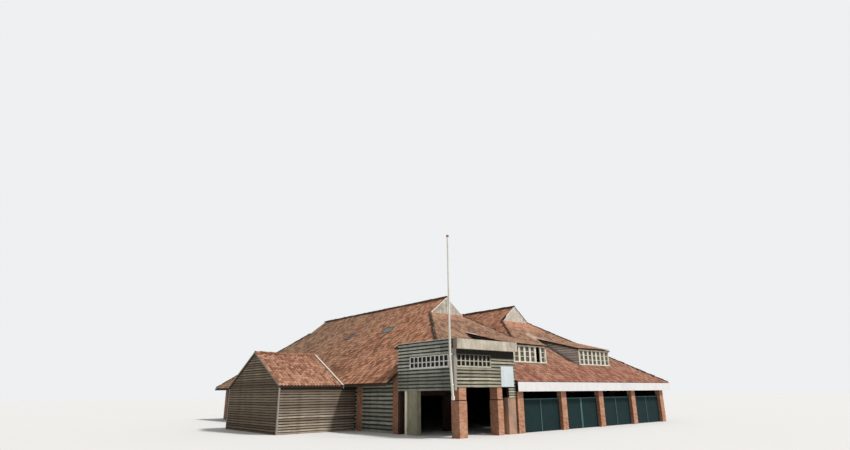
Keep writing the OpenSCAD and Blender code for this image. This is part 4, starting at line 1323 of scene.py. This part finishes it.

# %% [markdown]
# ## Bricks
# The pillars are orange red brick in lime mortar. At this distance a course is one pixel high,
# yet its rhythm shows, so the bricks are real blocks of 210 by 100 by 50 mm, a few millimetres
# proud of the CAD pillar, which is left as the mortar behind them. Two courses that turn the
# corner in opposite directions are stacked in turn. Faces that look to the left, away from the
# sun, are painted darker and redder as painted shade, which the material reads from the
# direction a face looks in.

# %% Brick material
def fired_brick(name, low, middle, high):
    material, tree, shader, coords = new_material(name)
    here = coords.outputs["Object"]
    fine = noise_at(tree, here, 0.03, 4.0, 0.7)
    mixed = math_of(tree, "MULTIPLY_ADD", noise_at(tree, here, 0.6, 3.0), 0.8, -0.1)
    mixed = math_of(tree, "MULTIPLY_ADD", stored(tree, "tone"), 0.4, mixed)
    colour = ramp(tree, mixed, [(0.1, low), (0.5, middle), (0.9, high)])
    colour = tint(tree, mask(tree, fine, 0.5, 0.8), colour, "#3a2a25", 0.4)
    sooty = mask(tree, noise_at(tree, here, 0.5, 4.0, 0.65), 0.6, 0.75, 0.6)
    colour = tint(tree, sooty, colour, "#4a342c")
    # Left-facing faces get painted shade, read from the direction of the face.
    facing = add(tree, "ShaderNodeNewGeometry").outputs["True Normal"]
    painted_shade_side = add(tree, "ShaderNodeSeparateXYZ", Vector=facing).outputs[0]
    colour = tint(tree, mask(tree, painted_shade_side, -0.3, -0.8, 0.42), colour, "#45190f")
    return finish_material(material, tree, shader, colour, 0.88, fine, 0.003)

# %% Mortar, render and felt material
def plain_grit(name, base, dark, size=0.5, warm=None):
    """Mortar, render and felt: one colour with soft stains and a fine grit."""
    material, tree, shader, coords = new_material(name)
    here = coords.outputs["Object"]
    fine = noise_at(tree, here, 0.02, 4.0, 0.7)
    if warm:
        warm_from, warm_tone = warm
        base = tint(tree, along_axis(tree, here, 0, warm_from, warm_from + 0.5), base, warm_tone)
    stain = mask(tree, noise_at(tree, here, size, 5.0, 0.6, (1, 1, 1.8)), 0.42, 0.7)
    colour = tint(tree, stain, base, dark)
    colour = tint(tree, mask(tree, fine, 0.4, 0.8), colour, "#2b2724", 0.25)
    return finish_material(material, tree, shader, colour, 0.9, fine, 0.003)

# %% Brick, mortar, render and felt
red_brick = fired_brick("Orange red facing brick", "#925f48", "#c08a6b", "#d8ad94")
mortar = plain_grit("Lime mortar", "#a88a75", "#8a6f5d")
# Near-black brick for the pillars' dark courses, and painted shade on the porch wall under the bay.
near_black_brick = plain_grit("Near-black brick", "#3b2a23", "#1f1815")
warm_side = (bay_x + 2, "#c0937c")
cement_render = plain_grit("Smooth cement render", "#99957f", "#77735f", 0.9, warm=warm_side)
roofing_felt = plain_grit("Bitumen roofing felt", "#6b6862", "#4a4743", 1.2)

# %% Stack a brick pillar
brick_l, brick_d, course_h = 0.21, 0.10, 0.0625
joint, bed_joint, proud = 0.01, 0.0115, 0.006
brick_error = (0.0008, 0.0008, 0.0008)


def run_of(a, b, across):
    """Bricks in a row from a to b, each a block with a joint beside and above it."""
    count = max(1, round((b - a) / (brick_l + joint)))
    each, height = (b - a) / count, course_h - bed_joint
    size = (each - joint, brick_d, height) if across else (brick_d, each - joint, height)
    brick = start("brick", size, (a, 0, 0) if across else (0, a, 0))
    return repeat(brick, count, (each, 0, 0) if across else (0, each, 0)), count


def pillar_bricks(width, depth, height):
    """A hollow stack of bricks round a pillar with one corner at the origin."""
    w, d, t = width + 2 * proud, depth + 2 * proud, brick_d
    first = [(0, w - t, True, 0), (0, d - t, False, w - t), (t, w, True, d - t), (t, d, False, 0)]
    second = [(t, w, True, 0), (t, d, False, w - t), (0, w - t, True, d - t), (0, d - t, False, 0)]
    pair, total = [], 0
    for level, course in enumerate((first, second)):
        for a, b, across, off in course:
            row, count = run_of(a, b, across)
            row.location = (0, off, level * course_h) if across else (off, 0, level * course_h)
            pair.append(apply_place(row))
            total += count
    stack = join(pair, "bricks")
    levels = math.ceil(height / (2 * course_h))
    repeat(stack, levels, (0, 0, 2 * course_h))
    vary(stack, total * levels, brick_error)
    co = coordinates(stack)
    co[:, :2] -= proud
    set_coordinates(stack, co)
    return trim(stack, (0, 0, height), (0, 0, 1), fill=True)


print("bricks of", brick_l, "x", brick_d, "m in courses of", course_h, "m")

# %% [markdown]
# The bay's pillars are a little wider below a dark course of bricks laid on edge. Each pillar
# is two stacks, and the course between them is one block, inset on top.

# %% Pillars of the bay
bay_pillars, dark_courses = [], []
pillar_d, foot_out, course_t, edge_h = 0.62, 0.02, 0.06, 0.055
foot_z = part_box("infill_panels")[1].z - 0.05
for x, w in ((0.32, 0.58), (bay_w - 1.69, 0.44)):
    upper = pillar_bricks(w, pillar_d, bay_front_low - foot_z - course_t)
    bay_pillars.append(copy_of(upper, (bay_x + x, bay_y, foot_z + course_t)))
    lower = pillar_bricks(w + 2 * foot_out, pillar_d + 2 * foot_out, foot_z)
    bay_pillars.append(copy_of(lower, (bay_x + x - foot_out, bay_y - foot_out, 0)))
    course = start("course", (w + 2 * proud, pillar_d + 2 * proud, edge_h),
                   (bay_x + x - proud, bay_y - proud, foot_z + 0.002))
    inset(course, upwards, 0.01)
    dark_courses.append(course)
    bpy.data.objects.remove(upper)
    bpy.data.objects.remove(lower)
keep(join(bay_pillars, "bay_pillar_bricks"), "brick", red_brick)
keep(join(dark_courses, "bay_pillar_courses"), "brick", near_black_brick)

# %% [markdown]
# The five pillars of the front stand at even steps, so one stack is made and copied.

# %% Pillars of the front
front_low, front_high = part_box("front_pillars")
front_spans, front_d = 4, 0.36
step = (front_high.x - front_low.x - pier_w) / front_spans
stack = pillar_bricks(pier_w, front_d, front_high.z)
front_stacks = [copy_of(stack, (front_low.x + i * step, front_low.y, 0)) for i in range(front_spans + 1)]
bpy.data.objects.remove(stack)
keep(join(front_stacks, "front_pillar_bricks"), "brick", red_brick)

# %% [markdown]
# The piers stand under the slopes, so the stacks are made a little too tall and then cut along
# the underside of the roof.

# %% Piers of the other sides
pier_lo, pier_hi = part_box("wall_piers")
pier_d, pier_h = 0.37, wall_top + 0.1
side_stack = pillar_bricks(pier_d, pier_w, pier_h)
rear_stack = pillar_bricks(pier_w, pier_d, pier_h)
left_step = span_step(left_wall_lo.y, left_wall_hi.y, left_spans)
right_step = span_step(right_wall_lo.y, right_wall_hi.y, right_spans)
rear_step = span_step(rear_wall_lo.x, rear_wall_hi.x, rear_spans)
print("piers every", round(left_step, 2), round(right_step, 2), round(rear_step, 2), "m")
# %% Set the piers along the walls
stacks = [copy_of(side_stack, (pier_lo.x, left_wall_lo.y - pier_w + i * left_step, 0))
          for i in range(left_spans)]
stacks += [copy_of(side_stack, (pier_hi.x - pier_d, right_wall_lo.y - pier_w + i * right_step, 0))
           for i in range(1, right_spans)]
stacks += [copy_of(rear_stack, (rear_wall_lo.x - pier_w + i * rear_step, pier_hi.y - pier_d, 0))
           for i in range(rear_spans + 1)]
bpy.data.objects.remove(side_stack)
bpy.data.objects.remove(rear_stack)
piers = join(stacks, "wall_pier_bricks")
trim(piers, (eave_l, 0, eave_z - slab_t), (-side_tan, 0, 1))
trim(piers, (eave_r, 0, eave_z - slab_t), (side_tan, 0, 1))
trim(piers, (0, eave_b, eave_z - slab_t), (0, side_tan, 1))
keep(piers, "brick", red_brick)

# %% [markdown]
# ## Paint, metal and glass
# The eaves board and the window frames carry aged gloss paint that has yellowed, the fascia of
# the bay a cream paint with water stains, and the infill a dark teal. Water runs straight down
# a board, so the stains are noise stretched in height, over broader clouds that break them up.
# The glass is old and dusty, and the rooms behind it are dark.

# %% Paint materials
fascia_lo, fascia_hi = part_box("bay_fascia")


def old_paint(name, base, dirt, bare, wear=0.66, streak=0.3, rough=0.55, dirty=0.6, side=None,
              painted_shadow_above=None):
    material, tree, shader, coords = new_material(name)
    here = coords.outputs["Object"]
    # An optional side gives the part before an edge another colour: painted shade on the fascia's end, the
    # second light's tone on the roof lights.
    if side:
        axis, edge, before = side
        base = blend(tree, along_axis(tree, here, axis, edge, edge + 0.01), before, base)
    runs = noise_at(tree, here, streak, 3.0, 0.55, (1, 1, 4))
    clouds = math_of(tree, "MULTIPLY", noise_at(tree, here, 0.9, 5.0, 0.65), 0.55)
    stains = mask(tree, math_of(tree, "MULTIPLY_ADD", runs, 0.45, clouds), 0.43, 0.64)
    colour = tint(tree, math_of(tree, "MULTIPLY", stains, dirty), base, dirt)
    chips = mask(tree, noise_at(tree, here, 0.1, 5.0, 0.75), wear, wear + 0.05)
    colour = tint(tree, chips, colour, bare)
    # Painted shadow: above the given height the paint takes the dark colour.
    if painted_shadow_above:
        colour = tint(tree, along_axis(tree, here, 2, painted_shadow_above, painted_shadow_above + 0.12), colour, dirt)
    brush = noise_at(tree, here, 0.04, 4.0, 0.6)
    return finish_material(material, tree, shader, colour, rough, brush, 0.002, 0.4)

# %% The paints and metals
white_paint = old_paint("Aged white gloss paint", "#e0dedd", "#d0cdc7", "#b3ab9d", 0.76)
cream_paint = old_paint("Aged cream gloss paint", "#e4dfcd", "#bab29d", "#8f8774", 0.68, 0.15)
grey_paint = old_paint("Weathered grey gloss paint", "#dcdbd5", "#b5b4ad", "#827f76", 0.68, 0.15)
# The front window's upper part takes the painted shadow of the bay's fascia.
dull_paint = old_paint("Cream window paint with painted shadow", "#b0aa97", "#5f5b50", "#6d685b", 0.66, 0.15, dirty=0.35,
                       painted_shadow_above=head_z - 0.3)
post_paint = old_paint("Bleached cream post paint", "#ede5cb", "#c3b998", "#9d9272", 0.7, 0.15)
# The zinc is painted paler than it is, as painted light that lifts the bay's capping out of its shade.
pale_zinc = old_paint("Oxidised zinc, painted paler", "#dddbd5", "#b5b3ac", "#8a8882", 0.62)
# The fascia's left end faces away from the sun and is painted darker: painted shade.
fascia_paint = old_paint("Stained cream board paint", "#c8beac", "#8c8172", "#5b5044", 0.61, 0.25, dirty=0.75,
                         side=(0, fascia_lo.x + 0.01, "#7d7062"))
teal_paint = old_paint("Aged teal board paint", "#0d2829", "#08191a", "#21332f", 0.72, rough=0.85)
rail_paint = old_paint("Faded teal rail paint", "#4a696c", "#345052", "#6d7872", 0.7, rough=0.8)
grey_zinc = old_paint("Dull zinc sheet", "#85888c", "#66696c", "#9a9c9c", 0.74)
dark_zinc = old_paint("Blackened zinc gutter", "#33302d", "#211f1d", "#56534f", 0.74)
sheet_paint = old_paint("Bare white notice sheet", "#cdd4d6", "#b4bcc0", "#a4abae", 0.95, 0.5, dirty=0.6)
frame_lead = old_paint("Dull lead and painted rims", "#55524e", "#3f3d3a", "#8a8780", 0.7)

# %% [markdown]
# The pole is white with rust runs, its knob is primed red brown and its brackets are bare iron.
# One material does all three, by height and by distance from the wall.

# %% Pole material
def pole_finish(name, base, dirt, rust, knob_from, iron_from):
    """White paint with rust runs; the knob on top is primed red brown, the brackets are bare iron."""
    material, tree, shader, coords = new_material(name)
    here = coords.outputs["Object"]
    stains = mask(tree, noise_at(tree, here, 0.12, 4.0, 0.6, (1, 1, 8)), 0.48, 0.72, 0.8)
    colour = tint(tree, stains, base, dirt)
    blisters = mask(tree, noise_at(tree, here, 0.3, 4.0, 0.7, (1, 1, 3)), 0.62, 0.7, 0.5)
    colour = tint(tree, blisters, colour, rust)
    colour = tint(tree, along_axis(tree, here, 2, knob_from, knob_from + 0.02), colour, rust)
    colour = tint(tree, along_axis(tree, here, 0, iron_from, iron_from + 0.01), colour, "#33291f")
    return finish_material(material, tree, shader, colour, 0.5, noise_at(tree, here, 0.04), 0.001, 0.3)


knob_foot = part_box("flagpole")[1].z - 0.17
pole_paint = pole_finish("Weathered white pole paint", "#ddd9cf", "#b4ac9e", "#9a6a58",
                         knob_foot, bay_x - 0.15)

# %% Glass material
def dusty_glass(name, clean, dusty, rough, share):
    material, tree, shader, coords = new_material(name)
    dust = noise_at(tree, coords.outputs["Object"], 0.25, 4.0, 0.6)
    colour = tint(tree, mask(tree, dust, 0.4, 0.75), clean, dusty, share)
    shader.inputs["IOR"].default_value = 1.5
    return finish_material(material, tree, shader, colour, rough, dust, 0.0005, 0.2)


dark_glass = dusty_glass("Old window glass", "#08090b", "#8d897c", 0.3, 0.12)
dormer_glass = dusty_glass("Dusty window glass", "#4a463c", "#8d897c", 0.4, 0.3)
between_lights = (light_lo.y + light_hi.y) / 2
light_glass = old_paint("Mossy roof light glass", "#5a3f30", "#3d2d24", "#a08471", 0.6, 0.3, rough=0.6,
                        side=(1, between_lights, "#77766a"))

# %% [markdown]
# ## Windows
# A strip of windows is one net of bars. It starts as a flat grid with one face a pane. Each
# face is inset, which leaves the bars, the middles are deleted, the outer edge is moved out to
# make the frame wider than the bars, and Solidify gives the net its depth.

# %% Net of bars
def bars(name, width, height, columns, rows, edge, bar, depth, flat=1.0):
    """A net of bars in the X-Y plane; its outer face is at Z = 0. Level bars are flatter."""
    height /= flat
    spare = edge - bar / 2
    net = rename(start_grid(columns, rows, (width - 2 * spare, height - 2 * spare)), name)
    net.location = (spare, spare, 0)
    apply_place(net)
    pick(net, "FACE", everywhere)
    bpy.ops.mesh.inset(thickness=bar / 2, use_individual=True)
    bpy.ops.mesh.delete(type="FACE")
    done()
    for axis, low, high in ((0, spare, width - spare), (1, spare, height - spare)):
        for at, by in ((low, -spare), (high, spare)):
            move(net, "VERT", lambda v: abs(v[axis] - at) < near / 2,
                 [by if i == axis else 0 for i in range(3)])
    net.scale.y = flat
    apply_place(net)
    return finish_with(net, "SOLIDIFY", thickness=depth, offset=-1)

# %% Windows of the bay
front_len, left_len = front_win[1] - front_win[0], left_win[1] - left_win[0]
strip_h = head_z - sill_z
bay_bars = [
    place(bars("front_bars", front_len, strip_h, 8, 2, 0.065, 0.088, 0.04, 0.6),
          (front_win[0], bay_y - 0.035, sill_z), (1, 0, 0), (0, 0, 1)),
    place(bars("left_bars", left_len, strip_h, 9, 2, 0.085, 0.085, 0.03, 0.6),
          (bay_x - 0.04, left_win[1], sill_z), (0, -1, 0), (0, 0, 1)),
]
for length, at, along in ((front_len, (front_win[0], bay_y, sill_z), (1, 0, 0)),
                          (left_len, (bay_x, left_win[1], sill_z), (0, -1, 0))):
    sill = start("sill", (length, 0.05, 0.1), (0, -0.06, 0))
    move(sill, "EDGE", lambda v: v.y < -0.055 and v.z > 0.09, (0, 0.015, -0.01))
    bay_bars.append(stand(sill, at, along))
keep(join(bay_bars[0::2], "bay_front_window"), "window_frames", dull_paint, "bay_window_frames")
keep(join(bay_bars[1::2], "bay_left_window"), "window_frames", grey_paint, "bay_window_frames")

# %% [markdown]
# A dormer window is a net of seven lights, and each light holds a sash with two level bars and
# a dusty pane. One light has lost its sash and pane, and is left open.

# %% Windows of the dormers
post_lo, post_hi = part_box("dormer_frames")
glass_lo, glass_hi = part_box("dormer_glass")
units, post_w, jamb_w, rebate = 7, 0.15, 0.09, 0.01
unit, glass_h = (dormer_w - 2 * jamb_w) / units, glass_hi.z - glass_lo.z
open_unit = (0, 5)
sill_w, sill_over = 0.05, 0.04
casements, panes = [], []
for i, x in enumerate(dormer_x):
    posts = bars("posts", dormer_w, post_hi.z - post_lo.z, units, 1, jamb_w, post_w, jamb_w)
    casements.append(place(posts, (x, dormer_front, post_lo.z), (1, 0, 0), upwards))
    for j in range(units):
        if (i, j) == open_unit:
            continue
        left = x + jamb_w + j * unit
        sash = bars("sash", unit - post_w + 2 * rebate, glass_h + 2 * rebate, 1, 3, 0.04, 0.035, 0.028)
        at = (left + post_w / 2 - rebate, dormer_front + 0.008, glass_lo.z - rebate)
        casements.append(place(sash, at, (1, 0, 0), upwards))
        pane = start("pane", (unit - 2 * rebate, 0.006, glass_h), (left + rebate, glass_lo.y, glass_lo.z))
        inset(pane, frontwards, 0.02)
        panes.append(pane)
    sill = start("sill", (dormer_w + 2 * sill_over, sill_w, sill_w),
                 (x - sill_over, dormer_front - sill_w, glass_lo.z - sill_w))
    move(sill, "EDGE", lambda v: v.y < dormer_front - 0.045 and v.z > glass_lo.z - 0.005,
         (0, 0, -0.012))
    casements.append(sill)
keep(join(casements, "dormer_windows"), "window_frames", cream_paint, "dormer_frames")
keep(join(panes, "dormer_panes"), "window_glass", dormer_glass, "dormer_glass")

# %% [markdown]
# ## Small things
# The roof lights lie in frames of sheet lead, which cover the cut tiles. A faded rail tops the
# teal infill, with an upright in the middle of each panel, and a strip of felt laps over the
# top of the bay's fascia.

# %% Roof light frames
rim, lead_bar, above_slab = 0.09, 0.12, 0.055
light_frames = []
for x, y, length in lights:
    net = bars("light_frame", length + 2 * rim, light_w / up_left[0] + 2 * rim, 1, 1, lead_bar, lead_bar, rim)
    low_x = x - rim * up_left[0]
    low_z = eave_z + (low_x - eave_l) * side_tan + above_slab
    light_frames.append(place(net, (low_x, y + length + rim, low_z), (0, -1, 0), up_left))
keep(join(light_frames, "roof_light_frames"), "zinc_sheet", frame_lead)

# %% Rails of the infill
infill_lo, infill_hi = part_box("infill_panels")
rail_h, panel_w = 0.06, step - pier_w
rail_z = infill_hi.z - rail_h
rails = []
for i in range(front_spans):
    left = front_low.x + i * step + pier_w
    rails.append(start("rail", (panel_w, 0.018, rail_h), (left, infill_lo.y - 0.012, rail_z)))
    wide = 0.2 if i == 1 else 0.07
    at = (left + (panel_w - wide) / 2, infill_lo.y - 0.008, 0)
    rails.append(start("upright", (wide, 0.014, rail_z), at))
for rail in rails:
    soften(rail, 0.004, lambda v: v.y < infill_lo.y)
keep(join(rails, "infill_rails"), "painted_boards", rail_paint)

# %% Felt edge
felt_w, felt_t = 0.05, 0.025
felt_at = (fascia_lo.x, fascia_lo.y, fascia_hi.z)
felts = [start("felt", (fascia_hi.x - fascia_lo.x, felt_w, felt_t), felt_at),
         start("felt", (felt_w, bay_y - fascia_lo.y, felt_t), felt_at)]
for felt in felts:
    soften(felt, 0.008, lambda v: v.z > fascia_hi.z + 0.02, segments=2)
keep(join(felts, "felt_edge"), "roof_felt", roofing_felt)

# %% [markdown]
# Small sheets of lead dress the upper left corner of each dormer, where its roof leaves the
# main slope. They lie on the tiles in the dormer roof's own pitch.

# %% Lead at the dormers
lead_w, lead_l, lead_t = 0.24, 1.1, 0.012
lead_y = dormer_meet - lead_l
lead_z = dormer_eave + (lead_y - dormer_lo.y) * dormer_tan + 0.03
sheets = []
for x in dormer_x:
    sheet = start("sheet", (lead_w, lead_l, lead_t))
    soften(sheet, 0.003, lambda v: v.z > 0.01)
    at = (x - dormer_rim - 0.02, lead_y, lead_z)
    sheets.append(place(sheet, at, (1, 0, 0), on_slope(dormer_tan, 0, 1)))
keep(join(sheets, "dormer_lead"), "zinc_sheet", pale_zinc)

# %% [markdown]
# The bay's corner is covered by two upright boards, wider than the laps are deep. The notice
# board is a painted sheet in a low rim, mounted over the boards, and the gutter behind the
# bay's rear wall sticks out a little past its left corner.

# %% Corner boards
corner_foot, strip_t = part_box("bay_corner_boards")[0].z, 0.035
corner_h = canopy_z - corner_foot
out_x, out_y = bay_x - lap_out, bay_y - lap_out
corners = [start("corner", (0.2, strip_t, corner_h), (out_x, out_y, corner_foot)),
           start("corner", (strip_t, 0.165, corner_h), (out_x, out_y + strip_t, corner_foot))]
for board in corners:
    soften(board, 0.004)
keep(join(corners, "corner_boards"), "weathered_boards", grey_wood, "bay_corner_boards")

# %% Notice board
notice = start("notice_sheet", (notice_hi.x - notice_lo.x, lap_out, notice_hi.z - notice_lo.z),
               (notice_lo.x, out_y, notice_lo.z))
inset(notice, frontwards, 0.03, (0, 0.012, 0))
keep(notice, "notice_metal", sheet_paint, "notice_board")

# %% Gutter end
gutter_r, gutter_l, gutter_t, gutter_z = 0.09, 1.2, 0.008, bay_top - 0.2
bpy.ops.object.select_all(action="DESELECT")
bpy.ops.mesh.primitive_cylinder_add(vertices=16, radius=gutter_r, depth=gutter_l,
                                    rotation=(0, math.pi / 2, 0),
                                    location=(bay_x + 0.37, bay_back + 0.13, gutter_z))
gutter = apply_place(bpy.context.object)
trim(gutter, (0, 0, gutter_z), (0, 0, 1))
finish_with(gutter, "SOLIDIFY", thickness=gutter_t)
backing = start("backing", (1.1, 0.03, 0.2), (bay_x - 0.2, bay_back, bay_top - 0.31))
soften(backing, 0.004)
keep(join([gutter, backing], "gutter_end"), "zinc_sheet", dark_zinc)

# %% [markdown]
# The lowered slabs become the boarding. The CAD pieces that stay as they are only need a
# finish on each of their material slots.

# %% The boarding
for name, deck in roof_decks.items():
    keep(deck, "timber_frame", deck_wood, name)

# %% Finishes of the CAD pieces that stay
# Under the bay, the floor and walls get the dark timber and the porch wall the near-black brick: painted
# shade of the undercroft.
finishes = {
    "valley_gutter": grey_zinc, "gablet_walls": dark_timber, "dormer_cheeks": dark_timber,
    "roof_lights": light_glass, "eaves_board": white_paint, "eaves_beam": dark_timber,
    "front_pillars": mortar, "infill_panels": teal_paint, "left_wall": dark_timber,
    "right_wall": dark_timber, "rear_wall": dark_timber, "wall_piers": mortar,
    "valley_frame": dark_timber, "bay_left_wall": dark_timber, "bay_front_wall": dark_timber,
    "bay_right_wall": dark_timber, "bay_rear_wall": dark_timber, "bay_floor": dark_timber,
    "bay_roof": roofing_felt, "bay_fascia": fascia_paint, "bay_capping": pale_zinc,
    "bay_corner_boards": grey_wood, "bay_glass": dark_glass, "notice_board": sheet_paint,
    "bay_pillars": mortar, "rendered_piers": cement_render, "bay_post": post_paint,
    "porch_wall": near_black_brick, "flagpole": pole_paint, "annex_side_walls": dark_timber,
    "annex_gable_wall": dark_timber,
}
for name, finish in finishes.items():
    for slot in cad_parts[name].material_slots:
        slot.material = finish
print(len(finishes), "CAD nodes have a finish")

# %% [markdown]
# ## Floor, light and camera
# The building stands on a plain pale floor under soft light. One large lamp stands for a high
# sun to the right of the front, so that the front is lit and the left side lies in shade. The
# camera stands where a street camera would, 2.5 m up and some 32 m from the bay.

# %% Floor
floor_size = 600
bpy.ops.object.select_all(action="DESELECT")
bpy.ops.mesh.primitive_plane_add(size=floor_size, location=(0, 0, 0))
floor = bpy.context.object
floor.name = "floor"
floor_material, tree, shader, coords = new_material("Plain pale floor")
shader.inputs["Base Color"].default_value = linear("#d9d7d3")
shader.inputs["Roughness"].default_value = 0.95
floor.data.materials.append(floor_material)
print("floor", floor_size, "m wide")

# %% Light
sun = bpy.data.objects.new("soft sun", bpy.data.lights.new("soft sun", "SUN"))
bpy.context.scene.collection.objects.link(sun)
sun.data.energy = 3.2
sun.data.angle = math.radians(8)
sun_from = Vector((0.38, -0.68, 1.05))
sun.rotation_mode = "QUATERNION"
sun.rotation_quaternion = sun_from.to_track_quat("Z", "Y")
print("sun", round(math.degrees(math.asin(sun_from.normalized().z))), "degrees high")

# %% Sky
world = bpy.data.worlds.new("studio")
bpy.context.scene.world = world
world.use_nodes = True
tree = world.node_tree
paths = add(tree, "ShaderNodeLightPath")
mirrored = math_of(tree, "MAXIMUM", paths.outputs["Is Glossy Ray"], paths.outputs["Is Transmission Ray"])
shown = math_of(tree, "MAXIMUM", paths.outputs["Is Camera Ray"], mirrored)
seen = add(tree, "ShaderNodeBackground", Color="#eef0f1", Strength=1.0)
lit = add(tree, "ShaderNodeBackground", Color="#f4f6f8", Strength=0.45)
mix = add(tree, "ShaderNodeMixShader", i0=shown, i1=lit.outputs[0], i2=seen.outputs[0])
tree.links.new(mix.outputs[0], tree.nodes["World Output"].inputs[0])
print(len(tree.nodes), "nodes in the sky")

# %% Camera
yaw, pitch, roll = 0.7025, 0.3084, 0.00925
forward = Vector((math.sin(yaw) * math.cos(pitch), math.cos(yaw) * math.cos(pitch), math.sin(pitch)))
level = Vector((math.cos(yaw), -math.sin(yaw), 0))
down = forward.cross(level)
right = math.cos(roll) * level + math.sin(roll) * down
below = -math.sin(roll) * level + math.cos(roll) * down
camera = bpy.data.objects.new("camera", bpy.data.cameras.new("camera"))
bpy.context.scene.collection.objects.link(camera)
camera.data.lens = 22.27
camera.data.sensor_width = 36
camera.data.clip_end = 500
camera_at = origin + Vector((-21.681, -23.106, 2.5))
turned = Matrix((right, -below, -forward)).transposed().to_4x4()
camera.matrix_world = Matrix.Translation(camera_at) @ turned
bpy.context.scene.camera = camera
bpy.context.scene.view_settings.view_transform = "Standard"
print("camera at", [round(c, 2) for c in camera_at])

# %% [markdown]
# ## Count
# The last step prints how many triangles the finished pieces add.

# %% Triangles added
print(sum(triangles_of(piece) for piece in made), "triangles added")
